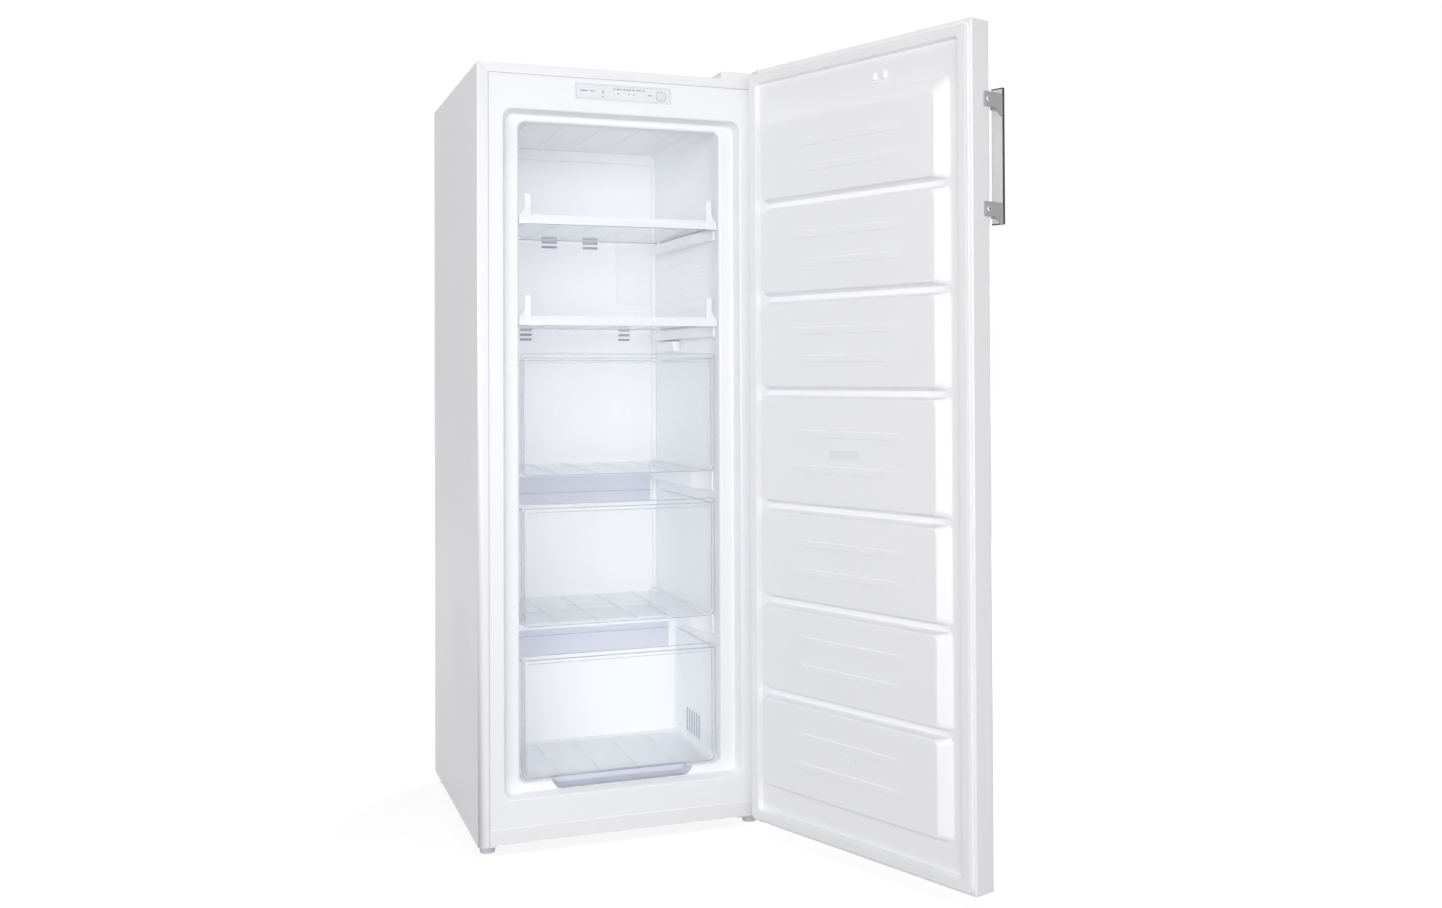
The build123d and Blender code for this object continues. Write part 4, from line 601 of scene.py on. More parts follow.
class Form:
    """Mesh that operators shape, in millimetres, before it becomes an object."""

    CORNER_STEPS = 6
    MERGE = 0.002
    SHARP = math.radians(38)

    def __init__(self) -> None:
        """Start with nothing."""
        self.bm = bmesh.new()

    def outline(self, outline: Outline, level: float, facing: Facing) -> bmesh.types.BMFace:
        """Add a face with an outline.

        Args:
            outline: Its shape.
            level: Its place along the axis that it faces.
            facing: That axis.

        Returns:
            The new face.
        """
        before = set(self.bm.faces)
        verts = bmesh.ops.create_grid(self.bm, x_segments=1, y_segments=1, size=0.5)["verts"]
        centre = Vector((middle(outline.across), middle(outline.up), 0))
        bmesh.ops.scale(self.bm, verts=verts, vec=(span(outline.across), span(outline.up), 1))
        bmesh.ops.translate(self.bm, verts=verts, vec=centre)
        upper = outline.radius if outline.upper_radius is None else outline.upper_radius
        rows = ([v for v in verts if v.co.y < centre.y], [v for v in verts if v.co.y > centre.y])
        for row, radius in zip(rows, (outline.radius, upper)):
            if radius > 0:
                self.round_corners(row, radius)
        face = next(f for f in self.bm.faces if f not in before)
        bmesh.ops.translate(self.bm, verts=face.verts, vec=(0, 0, level))
        bmesh.ops.transform(self.bm, matrix=facing.matrix, verts=face.verts)
        return face

    def round_corners(self, verts: list[bmesh.types.BMVert], radius: float) -> None:
        """Turn corners of a flat face into arcs."""
        bmesh.ops.bevel(
            self.bm, geom=verts, offset=radius, offset_type="OFFSET", segments=self.CORNER_STEPS,
            profile=0.5, affect="VERTICES", clamp_overlap=False, material=-1,
        )

    def bevel(self, edges: list[bmesh.types.BMEdge], width: float, steps: int = 3) -> None:
        """Round edges off."""
        bmesh.ops.bevel(
            self.bm, geom=edges, offset=width, offset_type="OFFSET", segments=steps,
            profile=0.5, affect="EDGES", clamp_overlap=True, material=-1,
        )

    def loft(
        self,
        facing: Facing,
        sections: list[tuple[float, Outline]],
        softened: dict[int, float] | None = None,
        capped: tuple[bool, bool] = (True, True),
        ring: bool = False,
    ) -> "Form":
        """Skin a row of outlines.

        Args:
            facing: Axis that the outlines face.
            sections: Level and outline of each, in order.
            softened: Radius by the number of each section whose edge is rounded off.
            capped: Whether the first and the last outline are closed.
            ring: Whether the last outline is joined to the first, as round a frame.

        Returns:
            This form.
        """
        loops = []
        for number, (level, outline) in enumerate(sections):
            face = self.outline(outline, level, facing)
            loops.append(list(face.verts))
            last = number == len(sections) - 1
            closed = not ring and ((number == 0 and capped[0]) or (last and capped[1]))
            if not closed:
                bmesh.ops.delete(self.bm, geom=[face], context="FACES_ONLY")
        ends = loops[1:] + loops[:1] if ring else loops[1:]
        for first, second in zip(loops, ends):
            self.bridge(first, second)
        bmesh.ops.recalc_face_normals(self.bm, faces=self.bm.faces)
        for number, width in (softened or {}).items():
            rim = loops[number]
            self.bevel([self.bm.edges.get(pair) for pair in zip(rim, rim[1:] + rim[:1])], width)
        return self

    def bridge(self, first: list[bmesh.types.BMVert], second: list[bmesh.types.BMVert]) -> None:
        """Join two outlines of as many corners by quads, each corner to the one nearest it."""
        centres = [sum((v.co for v in loop), Vector()) / len(loop) for loop in (first, second)]
        offsets = [[v.co - centre for v in loop] for loop, centre in zip((first, second), centres)]

        def apart(turn: int) -> float:
            """How far the corners lie apart when the second outline starts so many corners later."""
            turned = offsets[1][turn:] + offsets[1][:turn]
            return sum((a - b).length for a, b in zip(offsets[0], turned))

        turn = min(range(len(second)), key=apart)
        matched = second[turn:] + second[:turn]
        for number, corner in enumerate(first):
            self.bm.faces.new((first[number - 1], corner, matched[number], matched[number - 1]))

    def slab(
        self, x: Pair, y: Pair, z: Pair, soft: float = 0.5, radius: float = 0.0, facing: Facing = Facing.Y
    ) -> "Form":
        """Box with soft edges, its corners round about the axis it faces.

        Args:
            x: Range along X.
            y: Range along Y.
            z: Range along Z.
            soft: Radius of all its edges.
            radius: Radius of the corners of its outline.
            facing: Axis that the outline faces.

        Returns:
            This form.
        """
        across, up, along = {Facing.X: (y, z, x), Facing.Y: (x, z, y), Facing.Z: (x, y, z)}[facing]
        outline = Outline(across, up, max(radius, soft))
        softened = {0: soft, 1: soft} if soft > 0 else {}
        return self.loft(facing, [(along[0], outline), (along[1], outline)], softened)

    def profile(self, points: list[Pair], along: Pair, facing: Facing = Facing.X, soft: float = 0.0) -> "Form":
        """Prism with a profile of a few points.

        Args:
            points: The profile in its own plane.
            along: Range along the axis that it faces.
            facing: That axis.
            soft: Radius of its edges.

        Returns:
            This form.
        """
        verts = [self.bm.verts.new(facing.matrix @ Vector((a, b, along[0]))) for a, b in points]
        face = self.bm.faces.new(verts)
        grown_face = bmesh.ops.extrude_face_region(self.bm, geom=[face], use_keep_orig=True)["geom"]
        moved = [item for item in grown_face if isinstance(item, bmesh.types.BMVert)]
        shift = facing.matrix @ Vector((0, 0, span(along)))
        bmesh.ops.translate(self.bm, verts=moved, vec=shift)
        if soft > 0:
            own = {e for v in (*verts, *moved) for e in v.link_edges}
            self.bevel(list(own), soft)
        return self

    def turned(self, points: list[Pair], centre: Vector, facing: Facing = Facing.Z, steps: int = 32) -> "Form":
        """Round form from a profile of radius and height, spun about an axis through a point."""
        verts = [self.bm.verts.new((radius, 0, height)) for radius, height in points]
        edges = [self.bm.edges.new(pair) for pair in zip(verts, verts[1:])]
        before = set(self.bm.verts) - set(verts)
        bmesh.ops.spin(
            self.bm, geom=verts + edges, cent=(0, 0, 0), axis=(0, 0, 1), angle=math.tau, steps=steps, use_merge=True
        )
        made = [v for v in self.bm.verts if v not in before]
        place = Matrix.Translation(centre) @ facing.matrix
        bmesh.ops.transform(self.bm, matrix=place, verts=made)
        return self

    def framed(self, facing: Facing, outer: Outline, profile: list[Pair], soft: float = 0.0) -> "Form":
        """Frame whose profile is given as levels and distances in from its outer outline.

        Args:
            facing: Axis that the frame faces.
            outer: Its outer outline.
            profile: Level and inset of each edge of its profile, in order.
            soft: Radius of those edges.

        Returns:
            This form.
        """
        sections = [(level, outer.grown(-inset)) for level, inset in profile]
        softened = {number: soft for number in range(len(profile))} if soft > 0 else {}
        return self.loft(facing, sections, softened, ring=True)

    def filled(self) -> "Form":
        """Close the open edges that a cut has left."""
        open_edges = [edge for edge in self.bm.edges if edge.is_boundary]
        bmesh.ops.edgeloop_fill(self.bm, edges=open_edges)
        return self

    def kept(self, point: tuple[float, float, float], normal: tuple[float, float, float]) -> "Form":
        """Cut by a plane and keep the side that its normal leaves."""
        geom = [*self.bm.verts, *self.bm.edges, *self.bm.faces]
        bmesh.ops.bisect_plane(
            self.bm, geom=geom, dist=self.MERGE, plane_co=point, plane_no=normal, clear_outer=True
        )
        return self

    def closed(self) -> "Form":
        """Merge doubles and face the whole mesh outwards."""
        bmesh.ops.remove_doubles(self.bm, verts=self.bm.verts, dist=self.MERGE)
        bmesh.ops.dissolve_degenerate(self.bm, dist=self.MERGE, edges=self.bm.edges)
        bmesh.ops.recalc_face_normals(self.bm, faces=self.bm.faces)
        return self

    def looking(self, direction: tuple[float, float, float]) -> "Form":
        """Turn an open skin over unless the face furthest behind looks along a direction."""
        along = Vector(direction)
        self.bm.normal_update()
        last = min(self.bm.faces, key=lambda face: face.calc_center_median().dot(along))
        if last.normal.dot(along) < 0:
            bmesh.ops.reverse_faces(self.bm, faces=self.bm.faces)
        return self

    def swung(self, hinge: Hinge) -> "Form":
        """Turn with the door, from shut to where it stands open."""
        turn = Matrix.Rotation(hinge.angle, 3, "Z")
        bmesh.ops.rotate(self.bm, cent=(hinge.x, hinge.y, 0), matrix=turn, verts=self.bm.verts)
        return self

    def object(self, name: str, finish: Finish) -> bpy.types.Object:
        """Close the form as an object in metres, at the origin.

        Args:
            name: The object's name.
            finish: Its finish.

        Returns:
            The new object.
        """
        bmesh.ops.scale(self.bm, vec=(MM, MM, MM), verts=self.bm.verts)
        mesh = bpy.data.meshes.new(name)
        self.bm.to_mesh(mesh)
        self.bm.free()
        mesh.shade_smooth()
        mesh.set_sharp_from_angle(angle=self.SHARP)
        mesh.materials.append(finish.material())
        made = bpy.data.objects.new(name, mesh)
        bpy.context.scene.collection.objects.link(made)
        return made


class Joining(Enum):
    """How a closed form is worked into an object."""

    CUT = ("DIFFERENCE", "MANIFOLD")
    WELD = ("UNION", "EXACT")


def work_in(target: bpy.types.Object, form: Form, joining: Joining) -> None:
    """Cut a closed form out of an object, or weld it on, and leave a plain mesh.

    Args:
        target: Object that is changed.
        form: What is cut out or welded on.
        joining: Which of the two.
    """
    cutter = form.object("cutter", LINER_PLASTIC)
    modifier = target.modifiers.new("cut", "BOOLEAN")
    modifier.operation, modifier.solver = joining.value
    modifier.object = cutter
    depsgraph = bpy.context.evaluated_depsgraph_get()
    mesh = bpy.data.meshes.new_from_object(target.evaluated_get(depsgraph))
    old = target.data
    target.modifiers.clear()
    target.data = mesh
    mesh.name = target.name
    while len(mesh.materials) > 1:
        mesh.materials.pop()
    healed = bmesh.new()
    healed.from_mesh(mesh)
    bmesh.ops.remove_doubles(healed, verts=healed.verts, dist=Form.MERGE * MM)
    bmesh.ops.holes_fill(healed, edges=[edge for edge in healed.edges if edge.is_boundary], sides=0)
    bmesh.ops.recalc_face_normals(healed, faces=healed.faces)
    healed.to_mesh(mesh)
    healed.free()
    bpy.data.meshes.remove(old)
    bpy.data.objects.remove(cutter)
    mesh.shade_smooth()
    mesh.set_sharp_from_angle(angle=Form.SHARP)


def settle(piece: bpy.types.Object, finish: Finish, body: str, *replaced: str) -> bpy.types.Object:
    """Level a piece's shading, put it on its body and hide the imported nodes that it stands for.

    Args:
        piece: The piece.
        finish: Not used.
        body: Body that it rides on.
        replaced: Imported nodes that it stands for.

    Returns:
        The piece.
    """
    weighted = piece.modifiers.new("weighted", "WEIGHTED_NORMAL")
    weighted.keep_sharp = True
    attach(piece, body)
    if replaced:
        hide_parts(*replaced)
    LOG.info("%s rides on %s", piece.name, body)
    return piece


# Cabinet


@dataclass(frozen=True)
class Cabinet:
    """Folded steel shell and the liner inside it."""

    shell: Room = Room.of("cabinet_shell")
    liner: Room = Room.of("inner_liner")
    sheet: float = 1.0
    side_flange: float = 21.0
    top_flange: float = 18.0
    rear_flange: float = 12.5
    fold: float = 1.6
    wall: float = 2.0
    mouth: Outline = Outline(both(225.0), (96.0, 1335.5), 18.0)
    throat: Outline = Outline(both(220.0), (101.0, 1330.5), 18.0)
    opening: Outline = Outline(both(191.9), (117.0, 1317.0), 12.0)
    mouth_depth: float = 28.0
    lip: float = 27.0
    ceiling: float = 1335.0
    hump_front: float = 44.5
    hump_top: float = 354.0
    back: float = 212.5
    play: float = 0.2
    notch_z: Pair = (104.0, 129.0)
    notch_halves: Pair = (122.0, 140.0)
    notch_reach: float = 20.0
    notch_depth: float = 34.0
    notch_draft: float = 4.0
    notch_radius: float = 5.0
    notch_lead: float = 4.0
    notch_edge: float = 3.0
    below: float = 40.0

    def build_shell(self) -> bpy.types.Object:
        """Sides and top, with the flanges folded inwards at the front and the back."""
        below = self.shell.z[0] - self.below
        full = Outline(self.shell.x, (below, self.shell.z[1]), 2.0)
        half = self.shell.x[1]
        rear = Outline(both(half - self.rear_flange), (below, self.shell.z[1] - self.rear_flange), 1.0)
        front = Outline(both(half - self.side_flange), (below, self.shell.z[1] - self.top_flange), 1.0)
        front_y, back_y = self.shell.y
        sections = [(back_y, rear), (back_y, full), (front_y, full), (front_y, front)]
        form = Form().loft(Facing.Y, sections, {1: self.fold, 2: self.fold}, (False, False))
        form.kept((0, 0, self.shell.z[0]), (0, 0, -1)).closed()
        shell = form.object("cabinet_shell_skin", WHITE_STEEL)
        wall = shell.modifiers.new("sheet", "SOLIDIFY")
        wall.thickness = self.sheet * MM
        wall.offset = -1.0
        return settle(shell, WHITE_STEEL, "cabinet", "cabinet_shell")

    def liner_sections(self) -> list[tuple[float, Outline]]:
        """Outlines of the liner's skin, from its flange to its back wall."""
        plate = Outline(self.liner.x, (36.0, 1408.0), 1.5)
        front, rim = self.liner.y[0], self.rim
        behind = Outline(grown(self.opening.across, self.play), (self.opening.up[0] - self.play, self.ceiling), 12.0)
        over_hump = Outline(self.opening.across, (self.hump_top, self.ceiling - self.play), 12.0)
        return [
            (front, plate),
            (front, self.mouth),
            (rim, self.throat),
            (rim, self.opening),
            (rim + self.lip, self.opening),
            (rim + self.lip, behind),
            (self.hump_front, behind),
            (self.hump_front, over_hump),
            (self.back, over_hump),
        ]

    def build_liner(self) -> bpy.types.Object:
        """Thermoformed skin with its stepped mouth, lip, hump and drip notch."""
        softened = {1: 2.5, 2: 4.0, 3: 5.0, 4: 5.0, 5: 6.0, 6: 5.0, 7: 9.0, 8: 8.0}
        form = Form().loft(Facing.Y, self.liner_sections(), softened, (False, True))
        form.closed().looking((0, -1, 0))
        liner = form.object("compartment_liner", LINER_PLASTIC)
        wall = liner.modifiers.new("wall", "SOLIDIFY")
        wall.thickness = self.wall * MM
        wall.offset = -1.0
        wall.use_even_offset = True
        work_in(liner, self.notch_form().filled().closed(), Joining.CUT)
        return settle(liner, LINER_PLASTIC, "cabinet", "inner_liner")

    @property
    def rim(self) -> float:
        """Level of the rim round the opening."""
        return self.liner.y[0] - self.sheet + self.mouth_depth

    def notch_form(self) -> Form:
        """Trapezoid hollow in the lower rim, open at the front."""
        front, back = self.rim - self.notch_reach, self.rim + self.notch_depth
        low = Outline(both(self.notch_halves[0]), (front, back - self.notch_draft), self.notch_radius)
        high = Outline(both(self.notch_halves[1]), (front, back), self.notch_radius)
        form = Form().loft(Facing.Z, [(self.notch_z[0], low), (self.notch_z[1], high)], {0: self.notch_draft})
        return form.kept((0, self.rim - self.notch_lead, 0), (0, -1, 0)).closed()

    def build_notch(self) -> bpy.types.Object:
        """Skin of the drip notch under the lowest drawer, coloured lavender grey as painted shade."""
        form = self.notch_form()
        lid = [f for f in form.bm.faces if f.calc_center_median().z > self.notch_z[1] - Form.MERGE]
        bmesh.ops.delete(form.bm, geom=lid, context="FACES")
        form.kept((0, 0, self.opening.up[0]), (0, 0, 1)).kept((0, self.rim - self.notch_edge, 0), (0, -1, 0))
        form.closed().looking((0, 0, 1))
        # Painted shade: the notch takes the lavender grey that stands in for the shade under the lowest drawer.
        notch = form.object("drip_notch", SHADE_PLASTIC)
        wall = notch.modifiers.new("wall", "SOLIDIFY")
        wall.thickness = self.wall * MM
        wall.offset = -1.0
        return settle(notch, SHADE_PLASTIC, "cabinet", "inner_liner")

    def build(self) -> None:
        """Make the shell, the liner and its notch."""
        self.build_shell()
        self.build_liner()
        self.build_notch()


HINGE = Hinge.of("door_swing")


@dataclass(frozen=True)
class LinerFittings:
    """Ribs, bands of painted shade, drain grille with slats of painted shade, and rails on the walls of the
    compartment.
    """

    wall: float = 191.9
    rib_levels: tuple[float, ...] = (985.0, 1010.0, 1035.0, 1060.0, 1085.0)
    rib: Pair = (3.0, 0.9)
    rib_run: Pair = (-150.0, 130.0)
    ceiling: float = 1335.0
    ceiling_pitch: float = 75.0
    ceiling_rib: Pair = (7.0, 1.0)
    grille: Room = Room((191.4, 192.6), (-118.0, -24.0), (131.0, 178.0))
    painted_shade_bands: tuple[tuple[Pair, float], ...] = (((582.0, 641.0), 178.5), ((289.0, 342.0), 44.5))
    shade_band_half: float = 176.0
    slats: int = 6
    slat: float = 5.6
    rails: Room = Room.of("drawer_rails")
    rail_levels: tuple[Pair, ...] = ((355.0, 393.0), (631.0, 669.0))
    shelf_rails: Room = Room.of("shelf_rails")
    shelf_rail: Pair = (23.0, 19.0)
    stops: Room = Room.of("tilt_stops")
    stop_width: float = 16.0
    setback: float = 16.0
    lead: float = 85.0
    nose: float = 4.0

    def add_rail(self, form: Form, side: int, reach: Pair, y: Pair, z: Pair) -> None:
        """Add a ledge whose inner side widens from its front end.

        Args:
            form: Form that it is added to.
            side: -1 for the left wall and 1 for the right one.
            reach: Distance of its inner side and of the wall from the middle.
            y: Range along Y.
            z: Range along Z.
        """
        inner, wall = reach
        plan = [(wall, y[0]), (wall - self.nose, y[0]), (inner, y[0] + self.lead), (inner, y[1]), (wall, y[1])]
        form.profile([(side * a, b) for a, b in plan], z, Facing.Z, 1.8)

    def build_ribs(self) -> None:
        """Shallow ribs of the side walls and the ceiling."""
        form = Form()
        height, proud = self.rib
        for side in (-1, 1):
            wall = sorted((side * (self.wall - proud), side * (self.wall + 0.8)))
            for level in self.rib_levels:
                form.slab(wall, self.rib_run, grown((level, level), height / 2), 0.6)
        width, drop = self.ceiling_rib
        for number in range(-2, 3):
            x = number * self.ceiling_pitch
            form.slab(grown((x, x), width / 2), self.rib_run, (self.ceiling - drop, self.ceiling + 1.0), 0.7)
        ribs = form.closed().object("compartment_ribs", LINER_PLASTIC)
        settle(ribs, LINER_PLASTIC, "cabinet", "inner_liner")

    def build_shade_bands(self) -> None:
        """Grey bands of painted shade on the back wall, level with the gaps between the drawers, where shade falls.
        """
        form = Form()
        for z, front in self.painted_shade_bands:
            # Painted shade: grey bands stand in for the shade that falls on the back wall between the drawers.
            form.slab(both(self.shade_band_half), (front - 0.8, front + 0.5), z, 0.6)
        bands = form.closed().object("painted_shade_bands", SHADE_PLASTIC)
        settle(bands, SHADE_PLASTIC, "cabinet", "inner_liner")

    def build_grille(self) -> None:
        """Upright grey slats low on the right wall, painted shade that stands in for the shade of the grille's slots.
        """
        form = Form()
        x, y, z = self.grille.x, self.grille.y, self.grille.z
        pitch = span(y) / self.slats
        for number in range(self.slats):
            start = y[0] + pitch * (number + 0.5)
            form.slab(x, grown((start, start), self.slat / 2), z, 0.5)
        # Painted shade: the slats are grey to stand in for the shade inside the grille's slots.
        grille = form.closed().object("drain_grille", GRILLE_SHADE)
        settle(grille, GRILLE_SHADE, "cabinet", "inner_liner")

    def build_rails(self) -> None:
        """Ledges that carry the drawers and the shelves, and the stops over the upper drawer."""
        drawers, shelves, stops = Form(), Form(), Form()
        width, height = self.shelf_rail
        bottoms = (self.shelf_rails.z[0], self.shelf_rails.z[1] - height)
        for side in (-1, 1):
            y = (self.rails.y[0] + self.setback, self.rails.y[1])
            for level in self.rail_levels:
                self.add_rail(drawers, side, (172.0, self.rails.x[1]), y, level)
            y = (self.shelf_rails.y[0] + self.setback, self.shelf_rails.y[1])
            for bottom in bottoms:
                reach = (self.shelf_rails.x[1] - width, self.shelf_rails.x[1])
                self.add_rail(shelves, side, reach, y, (bottom, bottom + height))
            x = sorted((side * (self.stops.x[1] - self.stop_width), side * self.stops.x[1]))
            stops.slab(x, self.stops.y, self.stops.z, 3.0)
        for form, name in ((drawers, "drawer_rails"), (shelves, "shelf_rails"), (stops, "tilt_stops")):
            rails = form.closed().object(f"{name}_moulded", LINER_PLASTIC)
            settle(rails, LINER_PLASTIC, "cabinet", name)

    def build(self) -> None:
        """Make the ribs, the bands of painted shade, the grille and the rails."""
        self.build_ribs()
        self.build_shade_bands()
        self.build_grille()
        self.build_rails()


@dataclass(frozen=True)
class RearDuct:
    """Raised cover of the air duct, with its vents, grey sheets of painted shade behind them and the cover of the
    sensor.
    """

    plate: Room = Room.of("rear_duct_cover")
    sensor: Room = Room.of("sensor_cover")
    foot: Outline = Outline(both(183.5), (362.8, 1313.6), 12.0)
    draft: float = 3.0
    sheet: float = 2.5
    upper_slot: Pair = (34.0, 5.0)
    upper_offsets: Pair = (-44.5, 44.5)
    upper_levels: tuple[float, ...] = (1147.5, 1137.5, 1127.5)
    lower_slot: Pair = (26.0, 5.0)
    lower_offsets: Pair = (-95.0, 119.0)
    lower_levels: tuple[float, ...] = (951.0, 941.0, 931.0)
    # How far the painted vent shade reaches past the vents.
    painted_vent_shade: float = 4.0

    def vent_form(self) -> Form:
        """Bars that the vents are cut with."""
        form = Form()
        y = (self.plate.y[0] - 3.0, self.plate.y[1] + 3.0)
        rows = [(x, z, self.upper_slot) for x in self.upper_offsets for z in self.upper_levels]
        rows += [(x, z, self.lower_slot) for x in self.lower_offsets for z in self.lower_levels]
        for x, z, (width, height) in rows:
            outline = Outline(grown((x, x), width / 2), grown((z, z), height / 2), height * 0.45)
            form.loft(Facing.Y, [(y[0], outline), (y[1], outline)])
        return form.closed()

    def build(self) -> None:
        """Make the cover, the painted shade behind its vents and the sensor's cover."""
        front, back = self.plate.y
        plate = Outline(self.plate.x, self.plate.z, 3.0)
        crest = self.foot.grown(-self.draft)
        face = back - self.sheet
        sections = [(back, plate), (face, plate), (face, self.foot), (front, crest)]
        cover = Form().loft(Facing.Y, sections, {2: 0.7, 3: 1.0}).closed().object("duct_cover", LINER_PLASTIC)
        work_in(cover, self.vent_form(), Joining.CUT)
        settle(cover, LINER_PLASTIC, "cabinet", "rear_duct_cover")
        # Painted shade: grey sheets behind the vents stand in for the shade seen through them.
        vent_shade_form = Form()
        for offsets, levels in ((self.upper_offsets, self.upper_levels), (self.lower_offsets, self.lower_levels)):
            for x in offsets:
                z = grown((min(levels), max(levels)), self.painted_vent_shade)
                vent_shade_form.slab(grown((x, x), self.upper_slot[0] / 2 + self.painted_vent_shade), (face + 0.6, back - 0.4), z, 0.3)
        painted_vent_shade = vent_shade_form.closed().object("duct_vent_shade", VENT_SHADE)
        settle(painted_vent_shade, VENT_SHADE, "cabinet", "rear_duct_cover")
        lid = Form().slab(self.sensor.x, self.sensor.y, self.sensor.z, 0.9, 3.0)
        sensor = lid.closed().object("sensor_lid", CAP_PLASTIC)
        settle(sensor, CAP_PLASTIC, "cabinet", "sensor_cover")


@dataclass(frozen=True)
class ControlPanel:
    """Long bezel over the compartment, with its button, lenses and plain marks."""

    room: Room = Room.of("control_panel")
    button: Room = Room.of("control_button")
    lenses: Room = Room.of("indicator_lenses")
    bezel: float = 2.5
    housing_inset: float = 4.0
    corner: float = 3.0
    groove: float = 2.2
    marks: tuple[tuple[float, float, float], ...] = (
        (-84.0, 14.0, 1.0), (-66.0, 9.0, 1.0), (-44.0, 4.0, 1.0), (-44.0, 4.0, -8.0), (-22.0, 4.0, 7.0),
        (-16.0, 10.0, 7.0), (-4.0, 16.0, 7.0), (14.0, 5.0, 7.0), (22.0, 9.0, 7.0), (34.0, 4.0, 7.0),
        (-14.0, 3.0, -1.0), (6.0, 3.0, -1.0), (44.0, 7.0, -1.0),
    )
    mark_height: float = 1.5
    line_sink: float = 0.02
    line_foot: float = 1.2

    def build_bezel(self) -> None:
        """Bezel with a raised rim, and the housing behind it."""
        x, z = self.room.x, self.room.z
        front, back = self.room.y
        outer = Outline(x, z, self.corner)
        field = outer.grown(-self.groove)
        face = front + self.bezel
        sections = [(face, outer), (front, outer), (front, field), (front + 0.5, field.grown(-0.5))]
        form = Form().loft(Facing.Y, sections, {1: 0.7, 2: 0.2})
        inner = (grown(x, -self.housing_inset), grown(z, -self.housing_inset))
        form.slab(inner[0], (face - 0.2, back), inner[1], 1.0)
        bezel = form.closed().object("control_bezel", PANEL_PLASTIC)
        settle(bezel, PANEL_PLASTIC, "cabinet", "control_panel")

    def build_marks(self) -> None:
        """Plain dashes on the bezel and the bracket round the button."""
        form = Form()
        y = (self.room.y[0] + 0.3, self.room.y[0] + 0.62)
        for start, length, rise in self.marks:
            row = middle(self.room.z) + rise
            form.slab((start, start + length), y, grown((row, row), self.mark_height / 2), 0.1)
        x = middle(self.button.x)
        z = middle(self.button.z)
        ring = Outline(grown((x, x), 9.2), grown((z, z), 8.2), 5.0)
        form.framed(Facing.Y, ring, [(y[1], 0.0), (y[0], 0.0), (y[0], 0.7), (y[1], 0.7)])
        marks = form.closed().object("control_marks", INK)
        settle(marks, INK, "cabinet", "control_panel")

    def build_outline(self) -> None:
        """Faint lines of painted shade round the bezel and round its field."""
        form = Form()
        edge = Outline(self.room.x, self.room.z, self.corner)
        front = self.room.y[0] + self.line_sink
        foot = self.room.y[0] + self.line_foot
        line = [(foot, 0.05), (front, 0.1), (front, 0.9), (foot, 1.0)]
        for inset in (0.0, self.groove):
            form.framed(Facing.Y, edge.grown(-inset), line)
        # Painted shade: faint grey lines stand in for the shade in the gaps round the bezel and its field.
        outline = form.closed().object("control_outline", OUTLINE_SHADE)
        settle(outline, OUTLINE_SHADE, "cabinet", "control_panel")

    def build_button(self) -> None:
        """Domed button with a ring round its face."""
        x, z = middle(self.button.x), middle(self.button.z)
        front, back = self.button.y
        radius, flange = 5.8, span(self.button.x) / 2
        profile = [
            (0.0, front), (radius - 2.0, front), (radius - 1.8, front + 0.35), (radius - 1.3, front + 0.35),
            (radius - 1.1, front), (radius - 0.5, front + 0.15), (radius, front + 0.7), (radius, back - 1.5),
            (flange, back - 1.5), (flange, back), (0.0, back),
        ]
        form = Form().turned(profile, Vector((x, 0, z)), Facing.Y, 40)
        button = form.closed().object("control_button_cap", BUTTON_PLASTIC)
        settle(button, BUTTON_PLASTIC, "control_button", "control_button")

    def build_lenses(self) -> None:
        """Domed lenses of the two lamps."""
        front, back = self.lenses.y
        form = Form()
        z = middle(self.lenses.z)
        radius = span(self.lenses.z) / 2
        for x in (self.lenses.x[0] + radius, self.lenses.x[1] - radius):
            profile = [(0.0, front), (radius * 0.5, front + 0.1), (radius * 0.85, front + 0.35)]
            profile += [(radius, front + 0.8), (radius, back), (0.0, back)]
            form.turned(profile, Vector((x, 0, z)), Facing.Y, 24)
        lenses = form.closed().object("indicator_domes", LENS)
        settle(lenses, LENS, "cabinet", "indicator_lenses")

    def build(self) -> None:
        """Make the bezel, its marks and painted shade outline, the button and the lenses."""
        self.build_bezel()
        self.build_marks()
        self.build_outline()
        self.build_button()
        self.build_lenses()


